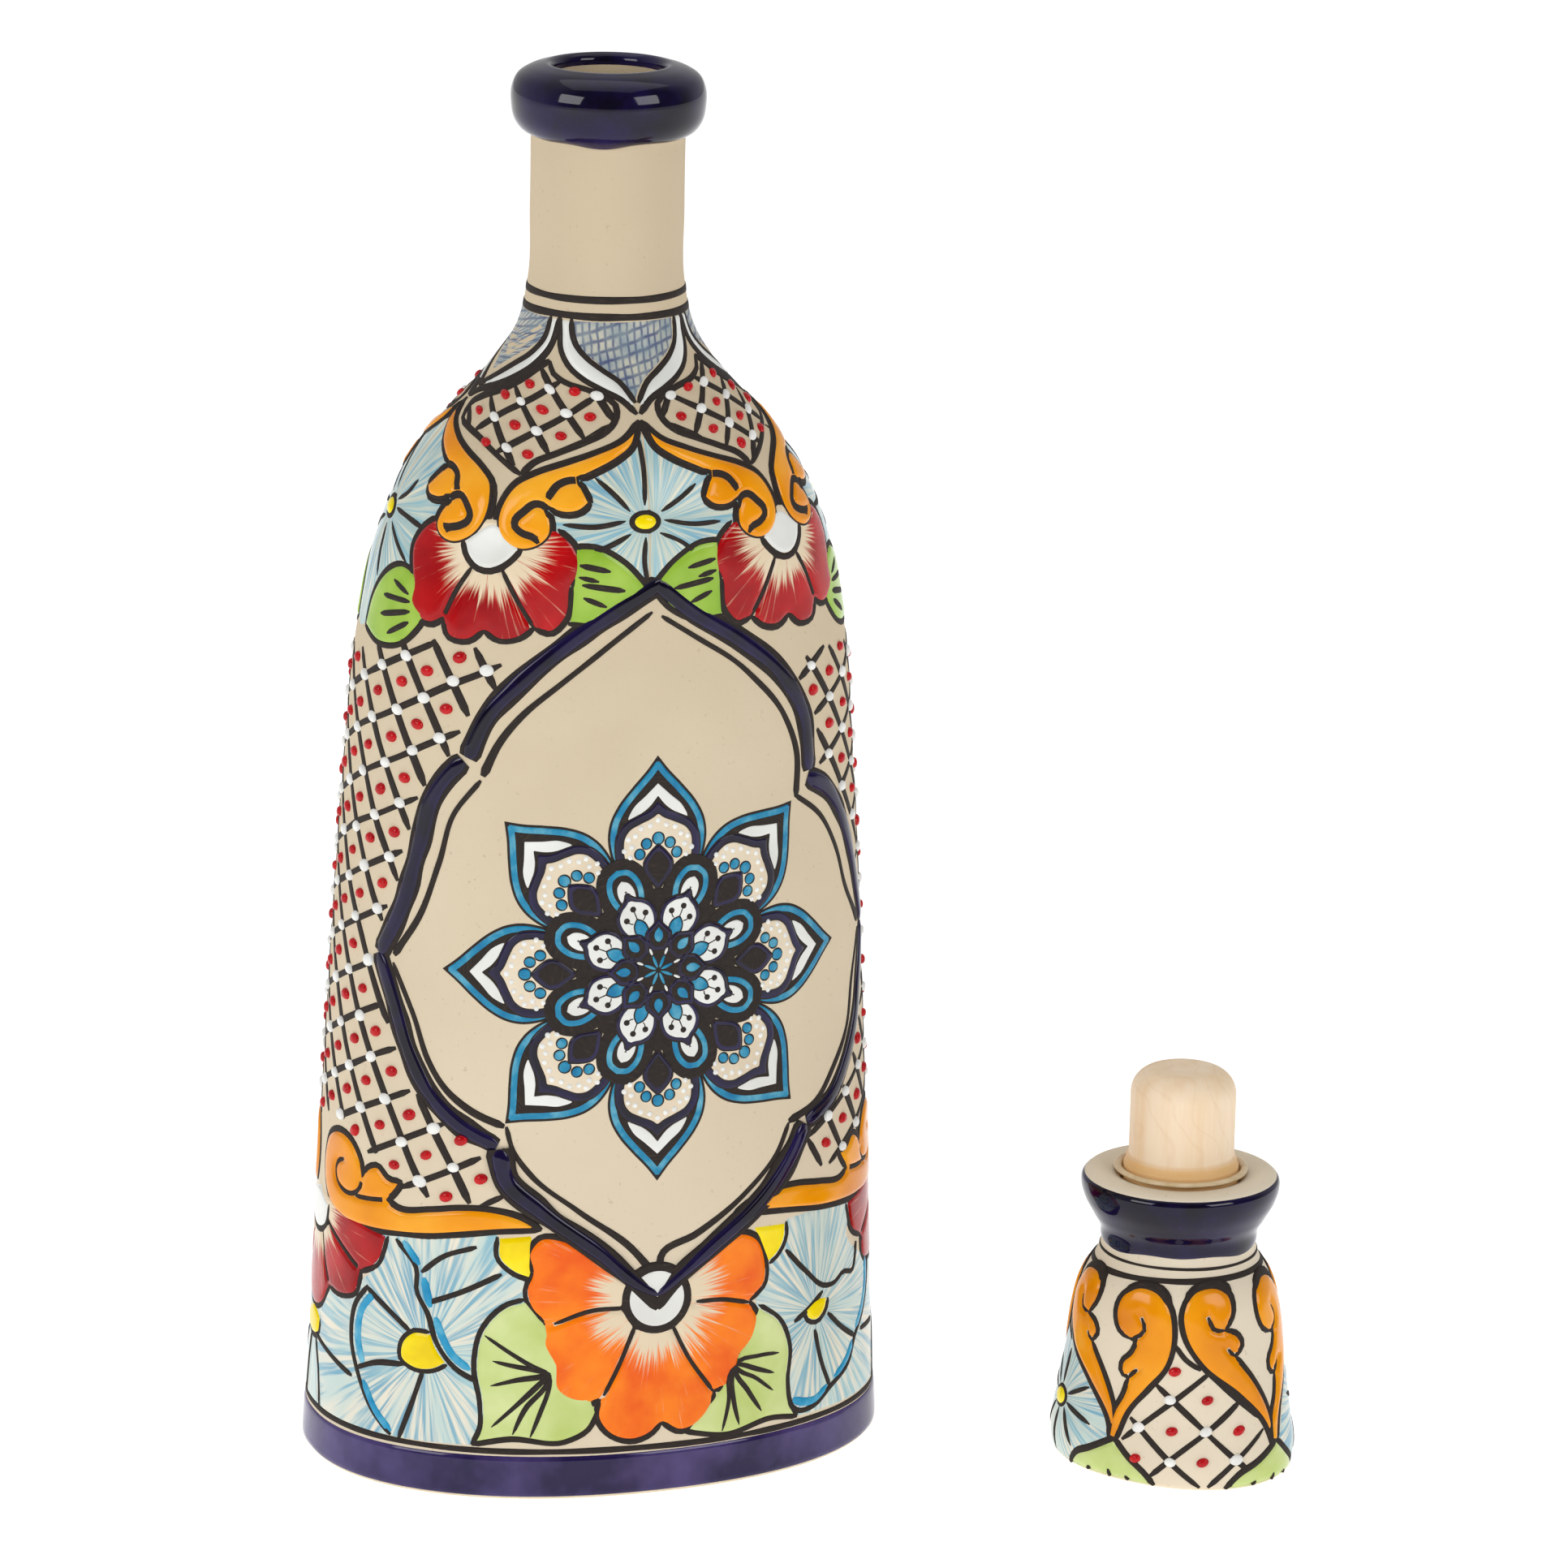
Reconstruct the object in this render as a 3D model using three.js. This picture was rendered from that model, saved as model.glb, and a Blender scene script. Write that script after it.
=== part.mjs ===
// An oval hand-painted pottery decanter and its stopper, which stands upside down beside it.
//
// Frame: millimetres, +Z up, the decanter's flat underside on z = 0 and centred on the origin.
// The broad face with the medallion looks along -Y and the long axis of the oval runs along X.
// The stopper stands on its closed wide end on the same floor, bung upwards.

import * as THREE from 'three';

// ---- driving dimensions: decanter ----
const HEIGHT = 289;              // foot to the top of the lip
const FOOT_HALF_WIDTH = 61;      // half the long axis of the oval foot
const OVAL = 0.734;              // depth over width of the body
const OVAL_ENDS = 172;          // height where the body starts to turn from oval to round
const NECK_FOOT = 246;          // height where the section has become round
const NECK_RADIUS = 15.6;
const BORE_RADIUS = 11.2;
const WALL = 4.6;
const FLOOR = 6;
const FOOT_EDGE = 1.5;           // small radius round the foot
const LIP_RADIUS = 19.4;
const LIP_HEIGHT = 13.5;

// ---- driving dimensions: stopper ----
const STOPPER_X = 110.2;
const STOPPER_Y = -53.2;
const STOPPER_TURN = THREE.MathUtils.degToRad(-51.54);  // heading of the long axis of its wide end
const CAP_HEIGHT = 62.6;
const CAP_HALF_WIDTH = 26;
const CAP_OVAL = 0.8;
const CAP_WAIST = 16;
const CAP_RIM = 20.3;
const CAP_MOUTH = 12.6;
const CAP_WALL = 3.8;
const BUNG_RADIUS = 10.9;
const BUNG_COLLAR = 11.9;
const BUNG_LENGTH = 38;
const BUNG_TOP = 84.6;
const GAP = 0.3;                 // clearance between pieces that are glued in the real object

const SQUARENESS = 0.57;          // how far an oval section fills out towards a superellipse

const BODY_SEGMENTS = 56;
const CAP_SEGMENTS = 40;
const BUNG_SEGMENTS = 32;

// How far a section at height z has turned from oval (0) to round (1).
function roundness(z, from, to) {
  return THREE.MathUtils.smoothstep(z, from, to);
}

// A point of a ring {z, a, b}, half-width a along X and half-depth b along Y. A round ring is a circle; the flatter
// the ring, the more it fills out into a superellipse.
function ringPoint(ring, angle) {
  const power = 2 / (2 + SQUARENESS * (1 - ring.b / ring.a));
  const c = Math.cos(angle);
  const s = Math.sin(angle);
  const x = ring.a * Math.sign(c) * Math.abs(c) ** power;
  const y = ring.b * Math.sign(s) * Math.abs(s) ** power;
  return [x, y, ring.z];
}

// Joins rings of points into one closed skin. The first and last rings close on the axis.
function ringSolid(rings, segments) {
  const positions = [];
  const indices = [];
  positions.push(0, 0, rings[0].z);
  for (const ring of rings) {
    for (let i = 0; i < segments; i += 1) {
      const angle = (2 * Math.PI * i) / segments;
      positions.push(...ringPoint(ring, angle));
    }
  }
  positions.push(0, 0, rings[rings.length - 1].z);
  const last = positions.length / 3 - 1;
  const at = (ring, i) => 1 + ring * segments + (i % segments);
  for (let i = 0; i < segments; i += 1) {
    indices.push(0, at(0, i + 1), at(0, i));
    for (let ring = 0; ring < rings.length - 1; ring += 1) {
      indices.push(at(ring, i), at(ring, i + 1), at(ring + 1, i + 1));
      indices.push(at(ring, i), at(ring + 1, i + 1), at(ring + 1, i));
    }
    indices.push(last, at(rings.length - 1, i), at(rings.length - 1, i + 1));
  }
  const geometry = new THREE.BufferGeometry();
  geometry.setAttribute('position', new THREE.Float32BufferAttribute(positions, 3));
  geometry.setIndex(indices);
  geometry.computeVertexNormals();
  return geometry;
}

// Joins rings into a closed loop of skin, for a ring-shaped solid.
function ringTube(rings, segments) {
  const positions = [];
  const indices = [];
  for (const ring of rings) {
    for (let i = 0; i < segments; i += 1) {
      const angle = (2 * Math.PI * i) / segments;
      positions.push(...ringPoint(ring, angle));
    }
  }
  const at = (ring, i) => (ring % rings.length) * segments + (i % segments);
  for (let i = 0; i < segments; i += 1) {
    for (let ring = 0; ring < rings.length; ring += 1) {
      indices.push(at(ring, i), at(ring, i + 1), at(ring + 1, i + 1));
      indices.push(at(ring, i), at(ring + 1, i + 1), at(ring + 1, i));
    }
  }
  const geometry = new THREE.BufferGeometry();
  geometry.setAttribute('position', new THREE.Float32BufferAttribute(positions, 3));
  geometry.setIndex(indices);
  geometry.computeVertexNormals();
  return geometry;
}

// A smooth outline through [radius, height] points, as equally spaced points.
function outline(points, count) {
  const curve = new THREE.SplineCurve(points.map(([r, z]) => new THREE.Vector2(r, z)));
  return curve.getSpacedPoints(count).map((p) => ({ r: p.x, z: p.y }));
}

function mesh(name, geometry, colour, roughness) {
  const material = new THREE.MeshStandardMaterial({ color: colour, roughness });
  const result = new THREE.Mesh(geometry, material);
  result.name = name;
  return result;
}

// ---- decanter ----
function decanterBody() {
  const round = (z) => roundness(z, OVAL_ENDS, NECK_FOOT);
  const ratio = (z) => OVAL + (1 - OVAL) * round(z);
  const lipFoot = HEIGHT - LIP_HEIGHT;
  const side = [
    [FOOT_HALF_WIDTH, FOOT_EDGE],
    [59.2, 30],
    [55.9, 100],
    [53.0, 146],
    [50.2, 176],
    [46.4, 193],
    [39.6, 208],
    [31.8, 218],
    [23.6, 227],
    [18.3, 235],
    [15.9, 245],
    [NECK_RADIUS, 260],
    [NECK_RADIUS + 0.2, lipFoot],
  ];
  const lip = [
    [NECK_RADIUS + 1.8, lipFoot + 0.6],
    [LIP_RADIUS - 0.6, lipFoot + 2.6],
    [LIP_RADIUS, lipFoot + 5.5],
    [LIP_RADIUS - 0.1, HEIGHT - 4.6],
    [LIP_RADIUS - 1.1, HEIGHT - 2.4],
    [LIP_RADIUS - 3.2, HEIGHT - 1.0],
    [LIP_RADIUS - 5.8, HEIGHT - 0.2],
    [LIP_RADIUS - 6.9, HEIGHT],
    [BORE_RADIUS + 0.3, HEIGHT - 0.6],
    [BORE_RADIUS, HEIGHT - 2.4],
  ];
  const outer = outline(side, 32);
  const rim = outline([[NECK_RADIUS + 0.2, lipFoot], ...lip], 18).slice(1);
  const rings = [];
  rings.push({ z: 0, a: FOOT_HALF_WIDTH - FOOT_EDGE, b: (FOOT_HALF_WIDTH - FOOT_EDGE) * OVAL });
  for (const p of [...outer, ...rim]) {
    rings.push({ z: Math.min(p.z, HEIGHT), a: p.r, b: p.r * ratio(p.z) });
  }
  const inside = outer.filter((p, i) => p.z > FLOOR + WALL && i % 2 === 0).reverse();
  for (const p of inside) {
    const a = p.z > lipFoot - 2 ? BORE_RADIUS : Math.max(p.r - WALL, BORE_RADIUS);
    const b = p.z > lipFoot - 2 ? BORE_RADIUS : Math.max(p.r * ratio(p.z) - WALL, BORE_RADIUS);
    rings.push({ z: p.z - (p.z > lipFoot - 2 ? 2 : 0), a, b });
  }
  const low = FOOT_HALF_WIDTH - WALL;
  const lowDepth = FOOT_HALF_WIDTH * OVAL - WALL;
  rings.push({ z: FLOOR + WALL * 0.3, a: low - WALL * 0.3, b: lowDepth - WALL * 0.3 });
  rings.push({ z: FLOOR, a: low - WALL, b: lowDepth - WALL });
  return mesh('decanter_body', ringSolid(rings, BODY_SEGMENTS), 0xd2c3a9, 0.7);
}

// ---- stopper ----
function onStopper(geometry) {
  geometry.rotateZ(STOPPER_TURN);
  geometry.translate(STOPPER_X, STOPPER_Y, 0);
  return geometry;
}

// Outline of the cap from its closed wide end up to the mouth, then down inside the wall.
function stopperCap() {
  const ratio = (z) => CAP_OVAL + (1 - CAP_OVAL) * roundness(z, 10, 46);
  const side = [
    [CAP_HALF_WIDTH - 3.0, 0],
    [CAP_HALF_WIDTH - 0.8, 1.1],
    [CAP_HALF_WIDTH, 4.0],
    [CAP_HALF_WIDTH - 1.1, 13.6],
    [22.4, 27],
    [21.2, 34],
    [20.2, 38],
    [18.7, 41.5],
    [17.0, 44.4],
    [CAP_WAIST, 47.4],
    [CAP_WAIST + 0.1, 50.6],
    [17.9, 54],
    [19.7, 57.5],
    [CAP_RIM, 60.2],
    [CAP_RIM - 0.5, 61.9],
    [CAP_RIM - 2.4, CAP_HEIGHT],
  ];
  const outer = outline(side, 28);
  const rings = [];
  for (const p of outer) {
    rings.push({ z: Math.max(p.z, 0), a: p.r, b: p.r * ratio(p.z) });
  }
  rings.push({ z: CAP_HEIGHT - 0.3, a: CAP_MOUTH + 0.4, b: CAP_MOUTH + 0.4 });
  rings.push({ z: CAP_HEIGHT - 0.8, a: CAP_MOUTH, b: CAP_MOUTH });
  const inside = outer.filter((p, i) => p.z > CAP_WALL * 1.5 && p.z < CAP_HEIGHT - 4 && i % 2 === 0).reverse();
  for (const p of inside) {
    const a = p.z > 44 ? CAP_MOUTH : Math.max(p.r - CAP_WALL, CAP_MOUTH);
    const b = p.z > 44 ? CAP_MOUTH : Math.max(p.r * ratio(p.z) - CAP_WALL, CAP_MOUTH);
    rings.push({ z: p.z, a, b });
  }
  const low = CAP_HALF_WIDTH - 2 * CAP_WALL;
  rings.push({ z: CAP_WALL, a: low, b: low * CAP_OVAL });
  return mesh('stopper_cap', onStopper(ringSolid(rings, CAP_SEGMENTS)), 0xd2c3a9, 0.55);
}

// A turned bung: domed tip, straight shank, a wider collar at the mouth of the cap and a plain end inside it.
function bung() {
  const tipEdge = 5.2;
  const collarTop = CAP_HEIGHT + 3.4;
  const rings = [];
  rings.push({ z: BUNG_TOP - BUNG_LENGTH, r: BUNG_COLLAR - 1 });
  rings.push({ z: BUNG_TOP - BUNG_LENGTH + 1, r: BUNG_COLLAR });
  rings.push({ z: collarTop - 1.6, r: BUNG_COLLAR });
  rings.push({ z: collarTop - 1.2, r: BUNG_COLLAR - 0.45 });
  rings.push({ z: collarTop - 0.3, r: BUNG_COLLAR - 0.5 });
  rings.push({ z: collarTop, r: BUNG_RADIUS });
  const steps = 6;
  for (let i = 0; i <= steps; i += 1) {
    const angle = (0.5 * Math.PI * i) / steps;
    const r = BUNG_RADIUS - tipEdge + tipEdge * Math.cos(angle);
    rings.push({ z: BUNG_TOP - tipEdge - 0.6 + tipEdge * Math.sin(angle), r });
  }
  rings.push({ z: BUNG_TOP, r: 1.6 });
  const even = rings.map(({ z, r }) => ({ z, a: r, b: r }));
  return mesh('bung', onStopper(ringSolid(even, BUNG_SEGMENTS)), 0xe7c397, 0.6);
}

// The bead of glue in the corner between the bung's collar and the flat mouth of the cap.
function adhesiveRing() {
  const inner = BUNG_COLLAR + GAP;
  const foot = CAP_HEIGHT + GAP;
  const width = 1.9;
  const height = 1.1;
  const rings = [
    { z: foot, r: inner },
    { z: foot, r: inner + width },
    { z: foot + height * 0.45, r: inner + width * 0.8 },
    { z: foot + height * 0.85, r: inner + width * 0.4 },
    { z: foot + height, r: inner },
  ];
  const even = rings.map(({ z, r }) => ({ z, a: r, b: r }));
  return mesh('adhesive_ring', onStopper(ringTube(even, BUNG_SEGMENTS)), 0xc99a5a, 0.5);
}

const decanter = new THREE.Group();
decanter.name = 'decanter';
decanter.add(decanterBody(), stopperCap(), bung(), adhesiveRing());

export default decanter;
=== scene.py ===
import math

import bpy
import numpy as np
from mathutils import Matrix, Vector
from mathutils.geometry import delaunay_2d_cdt


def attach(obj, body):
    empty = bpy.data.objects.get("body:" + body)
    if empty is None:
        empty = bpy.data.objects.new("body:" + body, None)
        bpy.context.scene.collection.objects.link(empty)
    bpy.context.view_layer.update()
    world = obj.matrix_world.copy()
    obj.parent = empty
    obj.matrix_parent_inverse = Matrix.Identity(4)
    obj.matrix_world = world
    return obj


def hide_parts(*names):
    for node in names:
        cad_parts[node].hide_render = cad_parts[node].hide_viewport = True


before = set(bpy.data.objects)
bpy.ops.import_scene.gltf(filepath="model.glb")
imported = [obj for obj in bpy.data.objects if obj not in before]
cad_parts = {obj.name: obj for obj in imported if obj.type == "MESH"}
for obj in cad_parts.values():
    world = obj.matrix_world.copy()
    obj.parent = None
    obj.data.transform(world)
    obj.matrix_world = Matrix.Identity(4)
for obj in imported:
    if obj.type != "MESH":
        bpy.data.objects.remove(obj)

# A hand-painted oval decanter and its stopper, which stands upside down beside it. Lengths in this script
# are in millimetres until they are put into a mesh. A painted point has an angle u in degrees round the
# oval, counted from the front as equal steps of arc length, a height v along the wall, and a lift above it.

MM = 0.001
DICE = np.random.default_rng(7)

# ---------------------------------------------------------------- camera

CAMERA_AT = (-0.4878, -1.4515, 0.5563)
CAMERA_TARGET = (0.03577, -0.01302, 0.14005)
CAMERA_LENS = 177.08
SENSOR_WIDTH = 36.0
CAMERA_ROLL = 0.0208


def make_camera():
    """The view: the whole decanter with its stopper to the right, seen a little from above."""
    data = bpy.data.cameras.new("camera")
    data.lens = CAMERA_LENS
    data.sensor_width = SENSOR_WIDTH
    camera = bpy.data.objects.new("camera", data)
    bpy.context.scene.collection.objects.link(camera)
    forward = (Vector(CAMERA_TARGET) - Vector(CAMERA_AT)).normalized()
    level = forward.cross(Vector((0, 0, 1))).normalized()
    upright = level.cross(forward)
    right = level * math.cos(CAMERA_ROLL) + upright * math.sin(CAMERA_ROLL)
    up = upright * math.cos(CAMERA_ROLL) - level * math.sin(CAMERA_ROLL)
    turn = Matrix((right, up, -forward)).transposed().to_4x4()
    camera.matrix_world = Matrix.Translation(CAMERA_AT) @ turn
    bpy.context.scene.camera = camera
    bpy.context.scene.view_settings.view_transform = "Standard"


make_camera()
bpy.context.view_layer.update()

# ---------------------------------------------------------------- the two oval walls

SQUARENESS = 0.57
HEIGHT_STEPS = 1201
QUARTER_STEPS = 361
TABLE_RATIOS = np.linspace(0.70, 1.0, 31)
KNOTS_BODY = ((0, 60.9), (30, 59.2), (100, 55.9), (146, 53.0), (176, 50.2), (193, 46.4), (208, 39.6),
              (218, 31.8), (227, 23.6), (235, 18.3), (245, 15.9), (260, 15.6), (290, 15.7))
KNOTS_CAP = ((0, 25.2), (4, 26), (13.6, 24.9), (27, 22.4), (34, 21.2), (38, 20.2), (41.5, 18.7),
             (44.4, 17), (47.4, 16), (50.6, 16.1), (54, 17.9), (57.5, 19.7), (60.2, 20.3), (62.6, 20))
STOPPER_X = 110.2
STOPPER_Y = -53.2
STOPPER_TURN = math.radians(-51.54)


def hermite(x_knots, y_knots):
    """A smooth curve through knots."""
    xk = np.asarray(x_knots, float)
    yk = np.asarray(y_knots, float)
    slope = np.gradient(yk, xk)

    def value(x):
        x = np.clip(np.asarray(x, float), xk[0], xk[-1])
        i = np.clip(np.searchsorted(xk, x, side="right") - 1, 0, len(xk) - 2)
        h = xk[i + 1] - xk[i]
        t = (x - xk[i]) / h
        start = (2 * t**3 - 3 * t**2 + 1) * yk[i] + (t**3 - 2 * t**2 + t) * h * slope[i]
        return start + (3 * t**2 - 2 * t**3) * yk[i + 1] + (t**3 - t**2) * h * slope[i + 1]

    return value


def smoothstep(x, low, high):
    t = np.clip((np.asarray(x, float) - low) / (high - low), 0, 1)
    return t * t * (3 - 2 * t)


def section(ratio, angle):
    """A point of the unit oval: an ellipse with slightly squared flanks. Angle 0 is the front and 90 degrees
    is +X."""
    power = 2 / (2 + SQUARENESS * (1 - ratio))
    sine, cosine = np.sin(angle), np.cos(angle)
    return np.sign(sine) * np.abs(sine) ** power, -ratio * np.sign(cosine) * np.abs(cosine) ** power


class Wall:
    """The outer wall of a piece with oval sections. Its coordinates are u (degrees of arc) and v (mm up it).
    `paints` holds the strokes laid on it, by colour."""

    def __init__(self, knots, ratio, oval_ends, round_from, to_row):
        self.half_width = hermite([k[0] for k in knots], [k[1] for k in knots])
        self.low_ratio, self.oval_ends, self.round_from = ratio, oval_ends, round_from
        self.to_row = to_row
        self.z = np.linspace(0, knots[-1][0], HEIGHT_STEPS)
        a = self.half_width(self.z)
        climb = 0.5 * (np.gradient(a, self.z) + np.gradient(a * self.ratio(self.z), self.z))
        self.v = np.concatenate([[0], np.cumsum(np.sqrt(1 + climb**2)[:-1] * np.diff(self.z))])
        angles = np.linspace(0, math.pi / 2, QUARTER_STEPS)
        x, y = section(TABLE_RATIOS[:, None], angles[None, :])
        arc = np.cumsum(np.hypot(np.diff(x, axis=1), np.diff(y, axis=1)), axis=1)
        arc = np.concatenate([np.zeros((len(x), 1)), arc], axis=1)
        self.quarter = arc[:, -1]
        steps = np.linspace(0, 90, QUARTER_STEPS)
        self.angle_at = np.array([np.interp(steps, row / row[-1] * 90, angles) for row in arc])
        self.paints = {}

    def ratio(self, z):
        return self.low_ratio + (1 - self.low_ratio) * smoothstep(z, self.oval_ends, self.round_from)

    def girth(self, v):
        """The length once round the wall at v."""
        z = np.interp(v, self.v, self.z)
        return 4 * self.half_width(z) * np.interp(self.ratio(z), TABLE_RATIOS, self.quarter)

    def angle(self, u, ratio):
        """The section's angle for u, from the table of equal arc steps."""
        u = (np.asarray(u, float) + 180) % 360 - 180
        back = np.abs(u) > 90
        q = np.where(back, 180 - np.abs(u), np.abs(u)) / 90 * (QUARTER_STEPS - 1)
        spacing = TABLE_RATIOS[1] - TABLE_RATIOS[0]
        row = np.clip((ratio - TABLE_RATIOS[0]) / spacing, 0, len(TABLE_RATIOS) - 1.001)
        i, j = row.astype(int), np.minimum(q.astype(int), QUARTER_STEPS - 2)
        f, g = row - i, q - j
        table = self.angle_at
        low = table[i, j] * (1 - g) + table[i, j + 1] * g
        high = table[i + 1, j] * (1 - g) + table[i + 1, j + 1] * g
        angle = low * (1 - f) + high * f
        angle = np.where(back, math.pi - angle, angle)
        return np.where(u < 0, -angle, angle)

    def point(self, u, v):
        z = np.interp(v, self.v, self.z)
        ratio = self.ratio(z)
        a = self.half_width(z)
        x, y = section(ratio, self.angle(u, ratio))
        return np.stack([a * x, a * y, z], -1)

    def lifted(self, u, v, lift):
        """Points held `lift` above the wall, in the row's frame."""
        u, v, lift = (np.asarray(part, float) for part in (u, v, lift))
        reach = 0.4
        across = self.point(u + reach, v) - self.point(u - reach, v)
        up = self.point(u, v + reach) - self.point(u, v - reach)
        normal = np.cross(across, up)
        normal /= np.linalg.norm(normal, axis=-1, keepdims=True)
        return self.to_row(self.point(u, v) + normal * lift[..., None])


def stay(points):
    return points


def rotated(x, y, angle):
    c, s = math.cos(angle), math.sin(angle)
    return x * c - y * s, x * s + y * c


def beside(points):
    """From the stopper's own frame to its place beside the decanter."""
    x, y = rotated(points[..., 0], points[..., 1], STOPPER_TURN)
    return np.stack([x + STOPPER_X, y + STOPPER_Y, points[..., 2]], -1)


BODY = Wall(KNOTS_BODY, 0.734, 172, 246, stay)
CAP = Wall(KNOTS_CAP, 0.8, 10, 46, beside)


class Face:
    """A place on a wall where a drawing is laid. Its x is in mm (or degrees, through `mm`), its y is v."""

    def __init__(self, wall, start=0.0, scale=1.0):
        self.wall, self.start, self.scale = wall, start, scale

    def mm(self, points):
        """Points given as (degrees, v), as (mm, v)."""
        p = np.asarray(points, float)
        return np.stack([p[:, 0] * self.wall.girth(p[:, 1]) / 360, p[:, 1]], -1)

    def spread(self, points):
        p = np.asarray(points, float)
        return self.start + self.scale * p[..., 0] * 360 / self.wall.girth(p[..., 1]), p[..., 1]

# ---------------------------------------------------------------- colours and material nodes


def rgb(red, green, blue):
    """An sRGB colour of 0 to 255 as linear RGBA."""
    linear = [((c / 255 + 0.055) / 1.055) ** 2.4 if c > 10 else c / 255 / 12.92 for c in (red, green, blue)]
    return (*linear, 1.0)


GLOSS = 0.24
COBALT_GLOSS = 0.32


class Finish:
    """A node material being built."""

    def __init__(self, name, roughness=0.5, gloss=GLOSS):
        self.material = bpy.data.materials.new(name)
        self.material.use_nodes = True
        self.tree = self.material.node_tree
        self.shader = self.tree.nodes["Principled BSDF"]
        self.shader.inputs["Roughness"].default_value = roughness
        self.shader.inputs["Specular IOR Level"].default_value = gloss

    def node(self, kind, **settings):
        made = self.tree.nodes.new(kind)
        for key, value in settings.items():
            setattr(made, key, value)
        return made

    def feed(self, socket, value):
        if isinstance(value, bpy.types.NodeSocket):
            self.tree.links.new(value, socket)
        else:
            socket.default_value = value

    def math(self, operation, a, b=0.0):
        made = self.node("ShaderNodeMath", operation=operation)
        self.feed(made.inputs[0], a)
        self.feed(made.inputs[1], b)
        return made.outputs[0]

    def times(self, a, b):
        return self.math("MULTIPLY", a, b)

    def plus(self, *values):
        total = values[0]
        for value in values[1:]:
            total = self.math("ADD", total, value)
        return total

    def split(self, vector):
        parts = self.node("ShaderNodeSeparateXYZ")
        self.tree.links.new(vector, parts.inputs[0])
        return parts.outputs

    def brush(self):
        """A stroke's own coordinates: x and y in mm from its centre, and the distance in from its edge."""
        return self.split(self.node("ShaderNodeAttribute", attribute_name="brush").outputs["Vector"])

    def around(self):
        """The radius and the angle from the stroke's centre."""
        x, y, _ = self.brush()
        radius = self.math("SQRT", self.plus(self.times(x, x), self.times(y, y)))
        return radius, self.math("ARCTAN2", x, y)

    def place(self):
        """The position on the piece, in metres."""
        return self.node("ShaderNodeTexCoord").outputs["Object"]

    def height(self):
        return self.split(self.place())[2]

    def vector(self, x, y, z=0.0):
        made = self.node("ShaderNodeCombineXYZ")
        for socket, value in zip(made.inputs, (x, y, z)):
            self.feed(socket, value)
        return made.outputs[0]

    def noise(self, vector, scale, detail=2.0, roughness=0.5):
        made = self.node("ShaderNodeTexNoise")
        self.feed(made.inputs["Vector"], vector)
        made.inputs["Scale"].default_value = scale
        made.inputs["Detail"].default_value = detail
        made.inputs["Roughness"].default_value = roughness
        return made.outputs["Fac"]

    def ramp(self, factor, *stops):
        made = self.node("ShaderNodeValToRGB")
        band = made.color_ramp
        while len(band.elements) < len(stops):
            band.elements.new(0.5)
        for element, (position, colour) in zip(band.elements, stops):
            element.position = position
            element.color = colour
        self.feed(made.inputs["Fac"], factor)
        return made.outputs["Color"]

    def mix(self, factor, a, b):
        made = self.node("ShaderNodeMix", data_type="RGBA")
        self.feed(made.inputs["Factor"], factor)
        self.feed(made.inputs[6], a)
        self.feed(made.inputs[7], b)
        return made.outputs[2]

    def between(self, value, low, high, to_low=0.0, to_high=1.0):
        made = self.node("ShaderNodeMapRange", clamp=True)
        self.feed(made.inputs["Value"], value)
        for name, number in (("From Min", low), ("From Max", high), ("To Min", to_low), ("To Max", to_high)):
            made.inputs[name].default_value = number
        return made.outputs["Result"]

    def colour(self, socket):
        self.tree.links.new(socket, self.shader.inputs["Base Color"])

    def rough(self, factor, low, high):
        self.tree.links.new(self.between(factor, 0.3, 0.7, low, high), self.shader.inputs["Roughness"])

    def bump(self, height, distance, strength=1.0):
        made = self.node("ShaderNodeBump")
        made.inputs["Strength"].default_value = strength
        made.inputs["Distance"].default_value = distance
        self.tree.links.new(height, made.inputs["Height"])
        self.tree.links.new(made.outputs["Normal"], self.shader.inputs["Normal"])


def bisque(name, deep, middle, pale):
    """Unglazed clay: nearly even, with sponge marks and fine grit, painted light low down and painted shade
    at the neck.
    """
    f = Finish(name)
    spot = f.place()
    cloud = f.noise(spot, 22, 3)
    grit = f.noise(spot, 900, 2)
    body = f.ramp(cloud, (0.3, deep), (0.5, middle), (0.72, pale))
    body = f.mix(f.between(f.noise(spot, 1500, 1), 0.35, 0.65, 0, 0.1), body, deep)
    # Painted light and shade: the clay is painted paler towards the foot and darker towards the neck, by
    # height.
    body = f.mix(f.between(f.height(), 0.03, 0.16, 0.7, 0), body, rgb(228, 214, 190))
    body = f.mix(f.between(f.height(), 0.17, 0.26, 0, 0.7), body, rgb(199, 181, 152))
    f.colour(f.mix(f.between(grit, 0.68, 0.76, 0, 0.35), body, rgb(168, 146, 118)))
    f.rough(cloud, 0.72, 0.9)
    f.bump(f.noise(spot, 700, 4, 0.65), 0.00005)
    return f.material


def streaked_glaze(name, deep, middle, light, scale, roughness=(0.08, 0.2)):
    """A puffy glaze whose colour thins and pools a little, and is darker where it is thickest."""
    f = Finish(name)
    spot = f.place()
    pool = f.noise(spot, scale, 3)
    f.colour(f.ramp(pool, (0.28, deep), (0.5, middle), (0.74, light)))
    f.rough(f.noise(spot, scale * 2.2, 2), *roughness)
    f.bump(f.noise(spot, scale * 1.4, 2), 0.00006, 0.5)
    return f.material


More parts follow.
